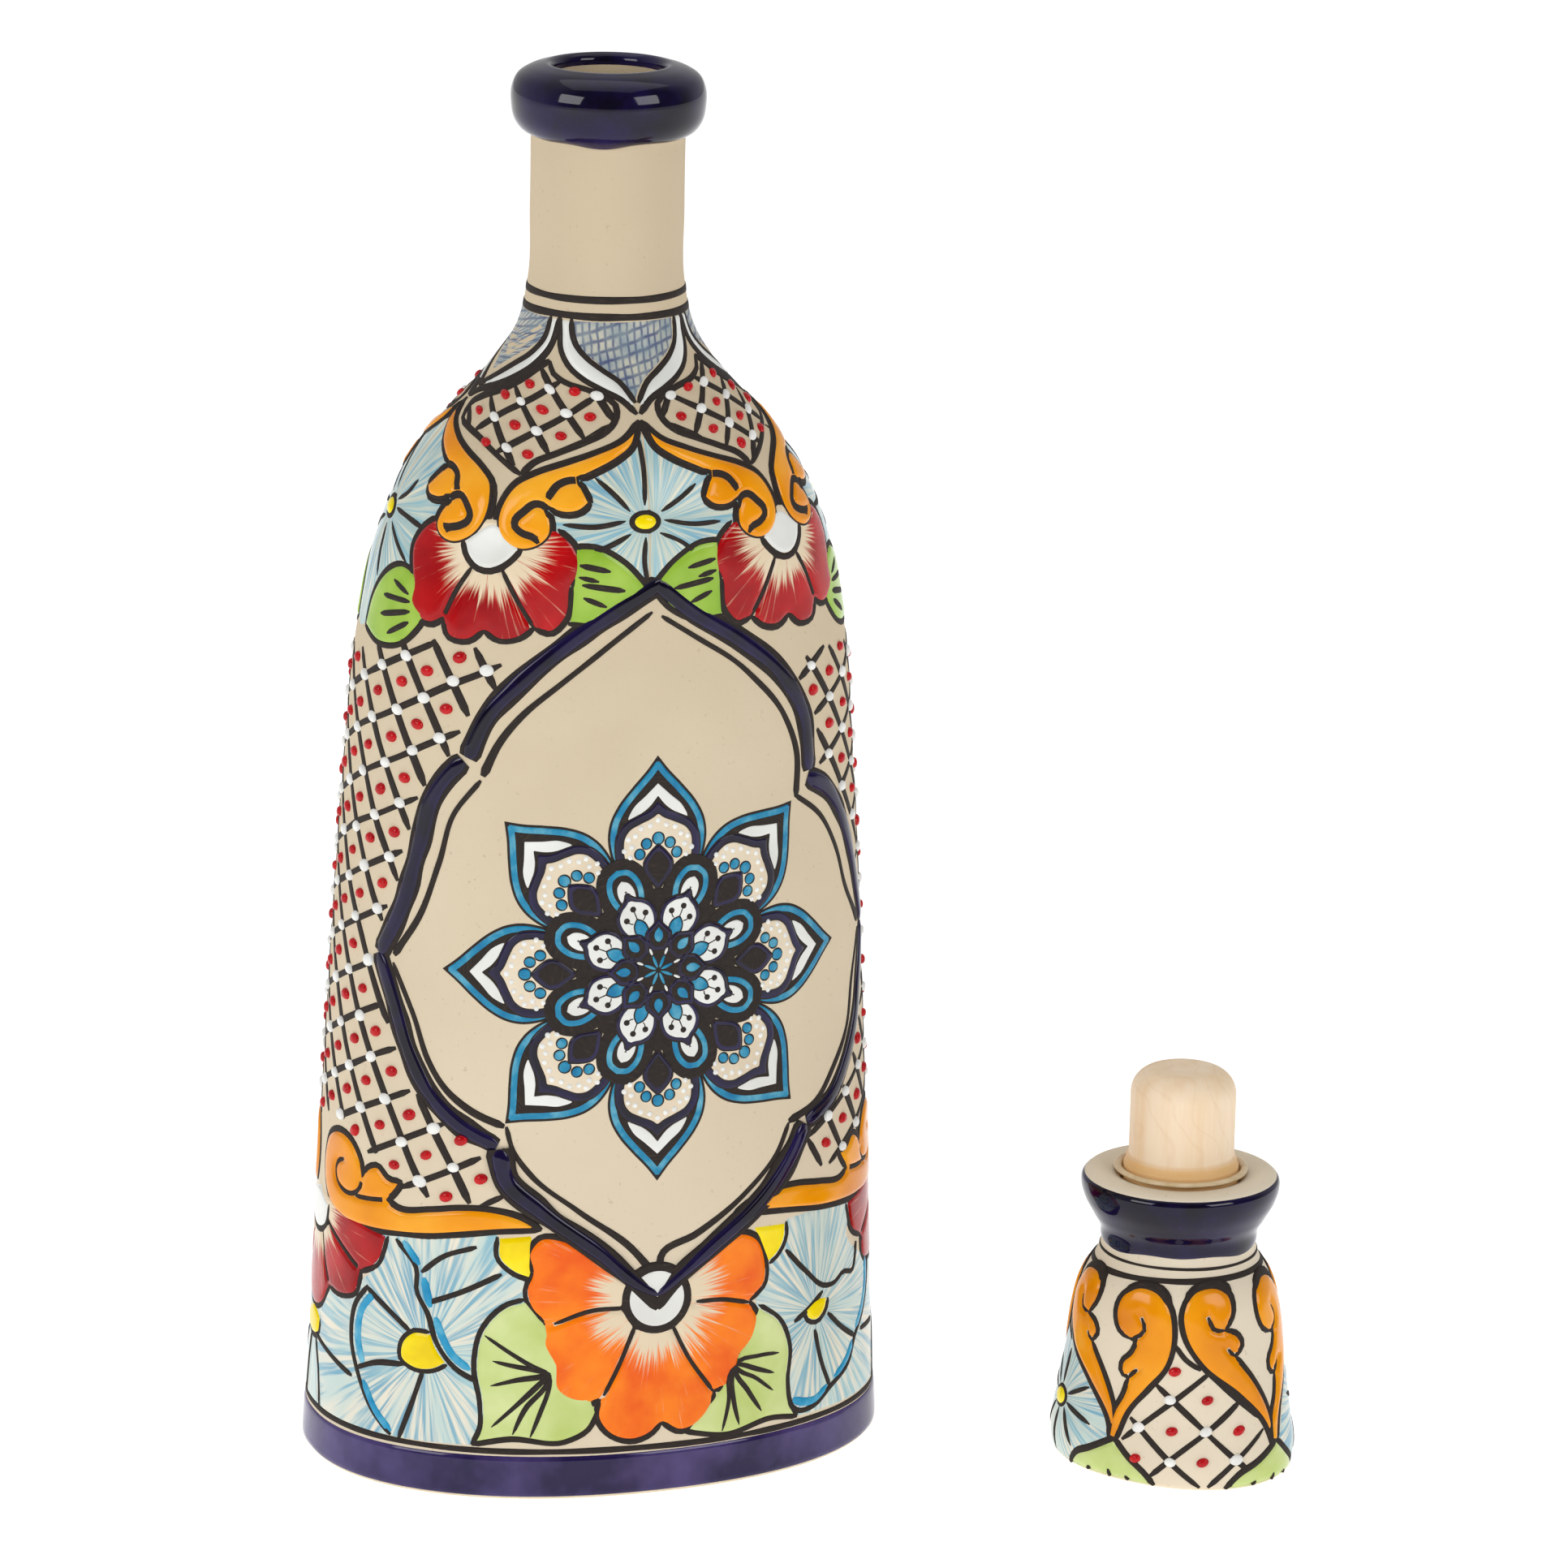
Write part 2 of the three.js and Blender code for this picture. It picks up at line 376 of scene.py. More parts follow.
def cobalt(name, deep, light, scale):
    """Cobalt blue, almost black where it is thick and violet where the brush left it thin, at its edges."""
    f = Finish(name, gloss=COBALT_GLOSS)
    edge = f.brush()[2]
    spot = f.place()
    pool = f.noise(spot, scale, 4, 0.6)
    body = f.ramp(pool, (0.4, deep), (0.72, light))
    thin = f.between(f.plus(edge, f.times(pool, -0.5)), 0.05, 0.6, 1.0, 0.0)
    f.colour(f.mix(f.times(thin, 0.08), body, rgb(84, 74, 130)))
    f.rough(pool, 0.04, 0.1)
    f.bump(f.noise(spot, 60, 2), 0.00012, 0.4)
    return f.material


def feathered(name, deep, bright, inner, outer, streaks):
    """Petals pulled with a fan brush from the rim towards a bare centre."""
    f = Finish(name)
    radius, angle = f.around()
    fine = f.noise(f.vector(f.times(angle, streaks), f.times(radius, 0.06)), 1.0, 3, 0.6)
    broad = f.noise(f.vector(f.times(angle, streaks * 0.28), f.times(radius, 0.1), 4.0), 1.0)
    reach = f.plus(f.between(radius, inner, outer), f.times(f.math("SUBTRACT", fine, 0.5), 2.1),
                   f.times(f.math("SUBTRACT", broad, 0.5), 1.1))
    paint = f.ramp(f.noise(f.place(), 110, 3), (0.3, deep), (0.68, bright))
    veil = f.mix(f.between(reach, 0.28, 0.52), rgb(226, 208, 178), f.mix(0.35, paint, rgb(232, 196, 160)))
    f.colour(f.mix(f.between(reach, 0.5, 0.72), veil, paint))
    f.rough(broad, 0.08, 0.22)
    f.bump(f.noise(f.place(), 120, 2), 0.00008, 0.5)
    return f.material


def fan_strokes():
    """A pale sky glaze with brush strokes of blue that spread from the flower's centre."""
    f = Finish("sky_strokes")
    radius, angle = f.around()
    fine = f.noise(f.vector(f.times(angle, 17), f.times(radius, 0.05)), 1.0, 2)
    broad = f.noise(f.vector(f.times(angle, 5), f.times(radius, 0.05), 7.0), 1.0, 1)
    high = f.ramp(broad, (0.35, rgb(168, 192, 190)), (0.65, rgb(222, 220, 198)))
    low = f.ramp(broad, (0.35, rgb(196, 214, 208)), (0.65, rgb(232, 225, 206)))
    bare = f.mix(f.between(f.height(), 0.06, 0.16), low, high)
    streak = f.between(f.plus(fine, f.times(broad, 0.25)), 0.58, 0.72)
    blue = f.ramp(f.noise(f.place(), 60, 2), (0.35, rgb(84, 158, 190)), (0.65, rgb(146, 192, 202)))
    f.colour(f.mix(f.times(streak, 0.82), bare, blue))
    f.rough(broad, 0.1, 0.22)
    return f.material


def wash():
    """A watery blue-grey wash, cross-hatched with a fine brush."""
    f = Finish("wash_crosshatch")
    x, y, _ = f.brush()
    wobble = f.times(f.noise(f.vector(x, y), 0.35, 2), 2.6)
    across = f.plus(f.times(x, 4.2), wobble)
    up = f.plus(f.times(y, 2.7), f.times(x, -0.8), wobble)
    hatch = f.math("MAXIMUM", f.math("SINE", across), f.math("SINE", up))
    pale = f.ramp(f.noise(f.vector(x, y), 0.16, 3), (0.35, rgb(136, 152, 160)), (0.65, rgb(196, 194, 178)))
    deep = f.ramp(f.noise(f.vector(y, x), 0.3, 3), (0.38, rgb(44, 58, 112)), (0.66, rgb(112, 128, 142)))
    f.colour(f.mix(f.between(hatch, 0.1, 1.0, 0, 0.85), pale, deep))
    f.rough(hatch, 0.3, 0.5)
    return f.material


def ink():
    """The matte black line that keeps the glazes apart: dense, with a dry drag here and there."""
    f = Finish("matte_black_line")
    x, y, _ = f.brush()
    drag = f.noise(f.vector(f.times(x, 0.35), f.times(y, 2.5)), 1.0, 3)
    f.colour(f.ramp(drag, (0.34, rgb(34, 28, 25)), (0.62, rgb(48, 40, 35)), (0.8, rgb(78, 68, 58))))
    f.rough(drag, 0.55, 0.8)
    f.bump(f.noise(f.place(), 1500, 3), 0.00003)
    return f.material


def leaf_glaze():
    """Leaf green: deeper on the shoulder, paler near the foot."""
    f = Finish("leaf_green_glaze")
    spot = f.place()
    cloud = f.noise(spot, 75, 3)
    high = f.ramp(cloud, (0.3, rgb(124, 168, 34)), (0.7, rgb(168, 200, 84)))
    low = f.ramp(cloud, (0.3, rgb(186, 204, 116)), (0.7, rgb(215, 226, 162)))
    f.colour(f.mix(f.between(f.height(), 0.05, 0.16), low, high))
    f.rough(cloud, 0.08, 0.2)
    f.bump(f.noise(spot, 130, 2), 0.00008, 0.5)
    return f.material


def enamel(name, deep, light):
    """A bead of thick enamel."""
    f = Finish(name)
    f.colour(f.ramp(f.noise(f.place(), 400, 2), (0.35, deep), (0.65, light)))
    f.rough(f.noise(f.place(), 200, 1), 0.06, 0.16)
    return f.material


def turned_wood():
    """Pale birch, its growth rings cut along the bung, with short pores and a soft sanded sheen."""
    f = Finish("turned_birch")
    x, y, z = f.split(f.place())
    grain = f.noise(f.vector(f.times(x, 260), f.times(y, 260), f.times(z, 26)), 1.0, 4, 0.62)
    warp = f.times(f.noise(f.place(), 38, 2), 0.03)
    ring = f.math("SINE", f.times(f.plus(x, warp, f.times(z, 0.16)), 1900))
    body = f.ramp(grain, (0.3, rgb(237, 208, 170)), (0.62, rgb(243, 221, 193)))
    body = f.mix(f.between(ring, 0.8, 1.0, 0, 0.12), body, rgb(214, 172, 124))
    f.colour(f.mix(f.between(z, 0.0655, 0.0668, 0.85, 0.0), body, rgb(226, 178, 112)))
    f.rough(grain, 0.42, 0.58)
    f.bump(grain, 0.00006)
    return f.material


def dried_glue():
    """A clear yellowed bead of glue."""
    f = Finish("dried_glue_bead")
    cloud = f.noise(f.place(), 300, 2)
    f.colour(f.ramp(cloud, (0.35, rgb(206, 182, 142)), (0.65, rgb(220, 200, 166))))
    f.rough(cloud, 0.25, 0.4)
    return f.material


CLAY = bisque("bisque_clay", rgb(203, 186, 157), rgb(208, 192, 164), rgb(214, 199, 172))
# The cap's clay is the body's clay painted paler: painted light, as the cap stands low on the table.
CAP_CLAY_PAINTED_LIGHTER = bisque("cap_clay_painted_lighter", rgb(216, 204, 183), rgb(222, 211, 191), rgb(227, 217, 199))
COBALT = cobalt("cobalt_glaze", rgb(7, 3, 22), rgb(26, 14, 68), 70)
# The foot band's cobalt is painted paler than the rest: a painted reflection of the pale table.
COBALT_FOOT_PAINTED_REFLECTION = cobalt("cobalt_foot_glaze_painted_reflection", rgb(32, 21, 66), rgb(84, 70, 126), 40)
INK = ink()
SCROLL_GLAZE = streaked_glaze("scroll_orange_glaze", rgb(216, 124, 0), rgb(238, 150, 6), rgb(246, 172, 44),
                              45)
RED_PETAL = feathered("red_petal_glaze", rgb(146, 0, 8), rgb(184, 14, 18), 7.5, 14.0, 30)
ORANGE_PETAL = feathered("orange_petal_glaze", rgb(236, 90, 0), rgb(252, 132, 14), 8.5, 17.0, 34)
LEAF = leaf_glaze()
YELLOW = streaked_glaze("yellow_glaze", rgb(234, 202, 0), rgb(248, 222, 0), rgb(250, 232, 60), 120)
WHITE = streaked_glaze("white_glaze", rgb(214, 214, 208), rgb(226, 227, 222), rgb(236, 236, 232), 60)
SKY = fan_strokes()
BRIGHT_BLUE = streaked_glaze("bright_blue_glaze", rgb(18, 128, 178), rgb(44, 152, 194), rgb(120, 190, 212),
                             190)
TEAL = streaked_glaze("teal_glaze", rgb(10, 112, 158), rgb(36, 134, 172), rgb(100, 170, 192), 260)
CREAM = streaked_glaze("cream_field", rgb(214, 198, 172), rgb(224, 209, 184), rgb(232, 219, 196), 90,
                       (0.3, 0.5))
WASH = wash()
RED_ENAMEL = enamel("red_enamel", rgb(170, 8, 18), rgb(196, 20, 26))
WHITE_ENAMEL = enamel("white_enamel", rgb(226, 226, 222), rgb(240, 240, 236))
BIRCH = turned_wood()
GLUE = dried_glue()

# ---------------------------------------------------------------- strokes, glazes and beads


class Paint:
    """All the strokes of one colour on one wall, made into one mesh at the end."""

    def __init__(self, name, wall, material, body, slot):
        self.name, self.wall, self.material, self.body, self.slot = name, wall, material, body, slot
        self.parts, self.faces, self.count = [], [], 0

    def add(self, face, points, lift, brush, faces):
        """Adds points (mm, v) of a drawing on `face`, with the faces between them."""
        u, v = face.spread(points)
        lift = np.broadcast_to(np.asarray(lift, float), u.shape)
        self.parts.append(np.column_stack([u.ravel(), v.ravel(), lift.ravel(), brush]))
        turned = face.scale < 0
        for loop in faces:
            loop = [index + self.count for index in loop]
            self.faces.append(loop[::-1] if turned else loop)
        self.count += u.size

    def build(self):
        rows = np.concatenate(self.parts)
        points = self.wall.lifted(rows[:, 0], rows[:, 1], rows[:, 2]) * MM
        piece = make_piece(self.name, points, self.faces, self.material, self.body)
        keep_brush(piece, rows[:, 3:6])


def make_piece(name, points, faces, material, body):
    """A smooth mesh object that rides on a body."""
    mesh = bpy.data.meshes.new(name)
    mesh.from_pydata([tuple(p) for p in points], [], faces)
    mesh.polygons.foreach_set("use_smooth", [True] * len(mesh.polygons))
    mesh.materials.append(material)
    mesh.validate()
    mesh.update()
    piece = bpy.data.objects.new(name, mesh)
    bpy.context.scene.collection.objects.link(piece)
    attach(piece, body)
    return piece


def keep_brush(piece, rows):
    """Stores the brush coordinates that the materials read, one for each point."""
    attribute = piece.data.attributes.new("brush", "FLOAT_VECTOR", "POINT")
    attribute.data.foreach_set("vector", rows.astype(np.float32).ravel())


def grid_faces(rows, count, around=True):
    """Four-sided faces between rows of points. `around` joins the end of each row to its start."""
    faces = []
    for low in range(0, (rows - 1) * count, count):
        high = low + count
        for j in range(count if around else count - 1):
            after = (j + 1) % count
            faces.append((low + j, low + after, high + after, high + j))
    return faces


def fan_faces(start, count, tip):
    """Triangles from a ring of points to one tip."""
    return [(start + j, start + (j + 1) % count, tip) for j in range(count)]


def full_turn(count):
    return np.arange(count) / count * 2 * math.pi


def travelled(points):
    """The distance gone at each point of a run."""
    return np.concatenate([[0], np.cumsum(np.hypot(*np.diff(points, axis=0).T))])


def heading(points):
    """The unit direction of a run at each of its points."""
    along = np.gradient(points, axis=0)
    return along / np.linalg.norm(along, axis=1)[:, None]


def sideways(points):
    """The unit direction across a run, to its right."""
    along = heading(points)
    return np.stack([along[:, 1], -along[:, 0]], -1)


def run(points, step):
    """Points about `step` apart on a smooth curve through the given ones."""
    p = np.asarray(points, float)
    chord = travelled(p)
    at = np.linspace(0, chord[-1], max(int(np.ceil(chord[-1] / step)), 2) + 1)
    return np.stack([hermite(chord, p[:, 0])(at), hermite(chord, p[:, 1])(at)], -1)


def wound(outline):
    """The same closed outline, running anticlockwise."""
    x, y = outline.T
    area = np.sum(x * np.roll(y, -1) - np.roll(x, -1) * y)
    return outline if area > 0 else outline[::-1]


# The spacing of the points on a glaze's edge: usual, on a wide field, and on a small or fine shape.
EDGE_STEP = 0.9
FIELD_STEP = 1.6
FINE_STEP = 0.8


def closed(*runs):
    """Runs that meet at corners round a shape. Each starts where the one before it ends, so it is given
    without its first point."""
    return tuple((before[-1], *points) for before, points in zip((runs[-1], *runs), runs))


def joined(runs, step):
    """A closed outline from runs that meet at corners."""
    return wound(np.concatenate([run(points, step)[:-1] for points in runs]))


def inside(points, outline):
    """Which points lie inside a closed outline."""
    x, y = points[:, :1], points[:, 1:]
    x0, y0 = outline[None, :, 0], outline[None, :, 1]
    x1, y1 = np.roll(x0, -1, axis=1), np.roll(y0, -1, axis=1)
    spans = (y0 > y) != (y1 > y)
    rise = np.where(y1 == y0, 1e-9, y1 - y0)
    return np.sum(spans & (x < x0 + (y - y0) / rise * (x1 - x0)), axis=1) % 2 == 1


def edge_distance(points, outline):
    """How far each point is from a closed outline."""
    nearest = np.full(len(points), 1e9)
    start, end = outline, np.roll(outline, -1, axis=0)
    for a, b in zip(start, end):
        along = b - a
        t = np.clip((points - a) @ along / max(along @ along, 1e-9), 0, 1)
        gap = points - a - t[:, None] * along
        nearest = np.minimum(nearest, np.hypot(gap[:, 0], gap[:, 1]))
    return nearest


def inset(outline, depth):
    """The outline moved in by depth, its corners kept sharp."""
    before, after = np.roll(outline, 1, axis=0), np.roll(outline, -1, axis=0)
    d0, d1 = outline - before, after - outline
    n0 = np.stack([-d0[:, 1], d0[:, 0]], -1) / np.linalg.norm(d0, axis=1)[:, None]
    n1 = np.stack([-d1[:, 1], d1[:, 0]], -1) / np.linalg.norm(d1, axis=1)[:, None]
    mid = n0 + n1
    stretch = np.maximum(np.sum(mid * n0, axis=1), 0.25)
    return outline + mid / stretch[:, None] * depth


SUNK = -0.03      # the edges of a stroke or a glaze lie just under the surface of the clay


def dome(distance, height, rim, start):
    """The lift of a glaze at a distance in from its edge: a rounded rim, then nearly flat."""
    t = np.clip((distance - start) / rim, 0, 1)
    return np.where(distance < start, SUNK, height * np.sqrt(np.maximum(1 - (1 - t) ** 2, 0)))


def beside_line(points, offset):
    """Points of a run moved to one side."""
    return points + sideways(points) * offset


def line_distance(points, line):
    """How far each point is from an open run."""
    return edge_distance(points, np.concatenate([line, line[-2:0:-1]]))


def edge_rows(outline, lines, rows):
    """Rows of points that follow the inside of an outline and both sides of the creases in it."""
    kept = [outline]
    for depth in rows:
        moved = inset(outline, depth)
        clear = inside(moved, outline) & (edge_distance(moved, outline) > 0.93 * depth)
        for line in lines:
            clear &= line_distance(moved, line) > rows[-1]
        kept.append(moved[clear])
    for line in lines:
        for offset in (0, *rows, *(-depth for depth in rows)):
            moved = beside_line(line, offset)
            clear = inside(moved, outline) & (edge_distance(moved, outline) > 0.6 * rows[-1])
            clear &= line_distance(moved, line) > 0.9 * abs(offset)
            kept.append(moved[clear])
    return kept


HONEYCOMB = 0.866      # the height of a triangle with equal sides of 1


def middle_points(outline, lines, grain, reach):
    """Evenly spread points, at least `reach` from an outline and the creases in it."""
    low, high = outline.min(axis=0), outline.max(axis=0)
    heights = np.arange(low[1], high[1], grain * HONEYCOMB)
    x, y = np.meshgrid(np.arange(low[0], high[0], grain), heights)
    x = x + (np.arange(len(heights)) % 2)[:, None] * grain / 2
    points = np.stack([x.ravel(), y.ravel()], -1)
    points = points[inside(points, outline)]
    for line in lines:
        points = points[line_distance(points, line) > reach]
    return points[edge_distance(points, outline) > reach]


SHAPES = {}


def filled(outline, grain, rows, creases=()):
    """Triangles that fill an outline, and how far each corner is from its edge or a crease. The same outline
    is only cut up once."""
    key = (outline.tobytes(), grain, len(creases))
    if key in SHAPES:
        return SHAPES[key]
    lines = [run(crease, FINE_STEP) for crease in creases]
    middle = middle_points(outline, lines, grain, rows[-1] + 0.5 * grain)
    points = np.concatenate([*edge_rows(outline, lines, rows), middle])
    made = delaunay_2d_cdt([Vector(p) for p in points], [], [list(range(len(outline)))], 1, 1e-5)
    corners = np.array([tuple(p) for p in made[0]])
    distance = edge_distance(corners, outline)
    for line in lines:
        distance = np.minimum(distance, line_distance(corners, line))
    SHAPES[key] = (corners, distance, [list(f) for f in made[2]])
    return SHAPES[key]


POOL_ROWS = (0.4, 0.8, 1.5)
COAT_ROWS = (0.06, 0.35)


def glaze(colour, face, outline, height, centre=(0, 0), rim=1.3, start=0.42, grain=1.1, base=0.0, creases=(),
          rows=POOL_ROWS):
    """A pool of glaze inside an outline, drawn down along any creases."""
    corners, distance, triangles = filled(outline, grain, rows, creases)
    lift = dome(distance, height, rim, start)
    lift = np.where(lift > 0, lift + base, lift)
    brush = np.column_stack([corners[:, 0] - centre[0], corners[:, 1] - centre[1], distance])
    face.wall.paints[colour].add(face, corners, lift, brush, triangles)


# A brush line's cross-section, as (share of its half width, share of its height).
PROFILE = np.array([(-1.0, -0.04), (-0.92, 0.6), (-0.55, 0.93), (0.0, 1.0), (0.55, 0.93), (0.92, 0.6),
                    (1.0, -0.04)])
LINE_WEIGHT = 1.06
WIDTH_WAVER = 0.07


def waver(count, step, reach, amount):
    """A slow random wander along a stroke."""
    knots = np.arange(0, count * step + 2 * reach, reach)
    return hermite(knots, DICE.normal(0, amount, len(knots)))(np.arange(count) * step)


def stroke(colour, face, points, width=1.25, height=0.2, step=1.4, wander=0.06, tips=0.8, base=0.0,
           swell=(1, 1)):
    """A line drawn with a brush: rounded across, a little uneven, closing to rounded ends. `swell` is the
    share of its width at its start and end."""
    middle = run(points, step)
    count = len(middle)
    side = sideways(middle)
    gap = np.linalg.norm(middle[1] - middle[0])
    middle = middle + side * waver(count, gap, 9, wander)[:, None]
    gone = np.arange(count) * gap
    to_end = np.minimum(gone, gone[::-1]) + 0.12 * width
    closing = np.sqrt(np.clip(1 - (1 - np.minimum(to_end / (tips * width), 1)) ** 2, 0, 1))
    uneven = 1 + waver(count, gap, 5, WIDTH_WAVER)
    swelling = swell[0] + (swell[1] - swell[0]) * np.linspace(0, 1, count) ** 3
    half = width * LINE_WEIGHT / 2 * closing * uneven * swelling
    across, rise = PROFILE.T
    grid = middle[:, None] + side[:, None] * (across[None, :, None] * half[:, None, None])
    lift = np.where(rise[None] > 0, rise[None] * height * closing[:, None] + base, SUNK)
    brush = np.column_stack([np.repeat(gone, len(PROFILE)), (across[None] * half[:, None]).ravel(),
                             (half[:, None] * (1 - np.abs(across[None]))).ravel()])
    faces = grid_faces(count, len(PROFILE), around=False)
    face.wall.paints[colour].add(face, grid.reshape(-1, 2), lift.ravel(), brush, faces)


BEAD_ROUND = 12
BEAD_ROWS = ((1.0, -0.05), (0.93, 0.45), (0.7, 0.8), (0.36, 0.97))


def bead(colour, face, at, long, short, height, turn=0.0):
    """A drop of enamel, oval in plan and domed."""
    angle = full_turn(BEAD_ROUND)
    scale = 1 + DICE.normal(0, 0.06)
    at = np.asarray(at, float)
    x, y = rotated(np.cos(angle) * long / 2 * scale, np.sin(angle) * short / 2 * scale, turn)
    edge = np.stack([x, y], -1)
    points = np.concatenate([*(at + edge * share for share, _ in BEAD_ROWS), at[None]])
    lift = np.append(np.repeat([rise * height for _, rise in BEAD_ROWS], BEAD_ROUND), height)
    last = (len(BEAD_ROWS) - 1) * BEAD_ROUND
    faces = grid_faces(len(BEAD_ROWS), BEAD_ROUND) + fan_faces(last, BEAD_ROUND, last + BEAD_ROUND)
    face.wall.paints[colour].add(face, points, lift, np.column_stack([points - at, lift]), faces)


def disc(centre, radius_x, radius_y=None, count=40):
    angle = full_turn(count)
    x, y = radius_x * np.cos(angle), (radius_y or radius_x) * np.sin(angle)
    return np.stack([centre[0] + x, centre[1] + y], -1)


def palette(wall, body, slot, colours):
    """Gives a wall one Paint for each of its colours."""
    for name, material in colours.items():
        wall.paints[name] = Paint(f"{body}_{name}", wall, material, body, slot)


palette(BODY, "decanter", "glazed_body", {
    "cobalt": COBALT, "foot_band": COBALT_FOOT_PAINTED_REFLECTION, "line": INK, "scroll": SCROLL_GLAZE, "red_petals": RED_PETAL,
    "orange_petals": ORANGE_PETAL, "leaves": LEAF, "yellow": YELLOW, "white": WHITE, "sky": SKY,
    "bright_blue": BRIGHT_BLUE, "teal": TEAL, "cream": CREAM, "wash": WASH, "red_beads": RED_ENAMEL,
    "white_beads": WHITE_ENAMEL})
palette(CAP, "stopper", "glazed_cap", {
    "line": INK, "scroll": SCROLL_GLAZE, "leaves": LEAF, "yellow": YELLOW, "sky": SKY,
    "red_beads": RED_ENAMEL, "white_beads": WHITE_ENAMEL})


def outlined(fill, face, runs, height, centre=(0, 0), width=1.25, grain=1.1, lines=None, creases=()):
    """A glaze inside runs of black line. `lines` picks the runs that are inked; all of them otherwise."""
    glaze(fill, face, joined(runs, EDGE_STEP), height, centre, grain=grain, creases=creases)
    for index, points in enumerate(runs):
        if lines is None or index in lines:
            stroke("line", face, points, width)
    for points in creases:
        stroke("line", face, points, width * 0.7)


# ---------------------------------------------------------------- the clay, the bung and the glue

SHELL_AROUND = 192
WALL_THICKNESS = 4.6
FLOOR_THICKNESS = 6
BORE_RADIUS = 11.2
LIP = ((275.5, 15.8), (276.1, 17.4), (278.1, 18.8), (281, 19.4), (284.4, 19.3), (286.6, 18.3),
       (288, 16.2), (288.8, 13.6), (289, 12.5), (288.4, 11.5), (286.6, 11.2))


def ring(z, half_width, ratio=1.0, count=SHELL_AROUND):
    x, y = section(ratio, full_turn(count))
    return np.stack([half_width * x, half_width * y, np.full(count, float(z))], -1)


def lathe_points(outline, step=0.6):
    """A smooth (z, radius) outline as close rings."""
    return [ring(z, radius) for z, radius in run(outline, step)]


def skin(rings, close_start=True, close_end=True):
    """Rings joined into a skin, each end closed with a fan."""
    n = len(rings[0])
    points = np.concatenate(rings)
    faces = grid_faces(len(rings), n)
    if close_start:
        points = np.concatenate([points, rings[0].mean(axis=0)[None]])
        faces += [(j, len(points) - 1, (j + 1) % n) for j in range(n)]
    if close_end:
        points = np.concatenate([points, rings[-1].mean(axis=0)[None]])
        faces += fan_faces((len(rings) - 1) * n, n, len(points) - 1)
    return points, faces


def wall_ring(wall, z, inward=0.0):
    ratio = float(wall.ratio(z))
    half = float(wall.half_width(z))
    width = half - inward
    return ring(z, width, (half * ratio - inward) / width)


def rounded_foot(wall, flat, radius):
    """The underside's edge, at `flat` in from the wall, and a rounded corner up to the wall."""
    corner = [wall_ring(wall, radius - radius * math.cos(t), radius - radius * math.sin(t))
              for t in np.linspace(0.15, math.pi / 2, 6)]
    return [wall_ring(wall, 0, flat), *corner]


def decanter_shell():
    """The thrown and squeezed body: rounded foot, oval belly, round neck, rolled lip and an open bore."""
    foot = rounded_foot(BODY, 1.6, 1.5)
    outer = [wall_ring(BODY, z) for z in np.linspace(2.5, 274.5, 190)]
    lip = lathe_points(LIP)
    bore = [ring(z, BORE_RADIUS) for z in np.linspace(285.6, 246, 14)]
    hollow = [wall_ring(BODY, z, WALL_THICKNESS) for z in np.linspace(240, FLOOR_THICKNESS + 3, 60)]
    floor = [wall_ring(BODY, FLOOR_THICKNESS, WALL_THICKNESS + 3)]
    points, faces = skin([*foot, *outer, *lip, *bore, *hollow, *floor])
    shell = make_piece("decanter_clay", points * MM, faces, CLAY, "decanter")
    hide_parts("decanter_body")


CAP_WALL = 3.8
CAP_MOUTH = 12.6
CAP_LIP = ((61.6, 20.2), (62.3, 19.5), (62.6, 18.2), (62.5, 15.4), (62.1, 13.3), (61.2, CAP_MOUTH))


def cap_shell():
    """The hollow cap: closed wide end down, waist, flared rim and the mouth that the bung is glued into."""
    foot = rounded_foot(CAP, 1.4, 1.4)
    outer = [wall_ring(CAP, z) for z in np.linspace(2, 61, 80)]
    rim = lathe_points(CAP_LIP, 0.5)
    mouth = [ring(z, CAP_MOUTH) for z in np.linspace(60, 46, 8)]
    hollow = [wall_ring(CAP, z, CAP_WALL) for z in np.linspace(42, CAP_WALL + 2, 22)]
    floor = [wall_ring(CAP, CAP_WALL, CAP_WALL + 2)]
    points, faces = skin([*foot, *outer, *rim, *mouth, *hollow, *floor])
    shell = make_piece("stopper_clay", beside(points) * MM, faces, CAP_CLAY_PAINTED_LIGHTER, "stopper")
    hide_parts("stopper_cap")


BUNG_RADIUS = 10.9
BUNG_COLLAR = 11.9
BUNG_TOP = 84.6
BUNG_END = 46.6
BUNG_EDGE = 5.2
BUNG_AROUND = 96


def bung_piece():
    """The turned birch bung: collar at the cap's mouth, a small step, a straight shank and a rounded end."""
    outline = [(BUNG_END, 10.2), (BUNG_END + 0.8, BUNG_COLLAR - 0.4), (BUNG_END + 1.6, BUNG_COLLAR),
               (64.2, BUNG_COLLAR), (64.5, 11.75), (64.6, 11.5), (65.7, 11.42), (66.0, 11.3), (66.2, 11.0),
               (66.6, BUNG_RADIUS)]
    shoulder, flat = BUNG_TOP - BUNG_EDGE, BUNG_RADIUS - BUNG_EDGE
    outline += [(z, BUNG_RADIUS) for z in np.linspace(67.4, shoulder, 16)]
    outline += [(shoulder + BUNG_EDGE * math.sin(t), flat + BUNG_EDGE * math.cos(t))
                for t in np.linspace(0.12, math.pi / 2, 12)]
    outline += [(BUNG_TOP, flat * share) for share in (0.66, 0.33)]
    rings = [ring(z, radius, count=BUNG_AROUND) for z, radius in outline]
    points, faces = skin(rings)
    piece = make_piece("birch_bung", beside(points) * MM, faces, BIRCH, "stopper")
    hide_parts("bung")


BEAD_RADIUS = 13.1
BEAD_HEIGHT = 63.4


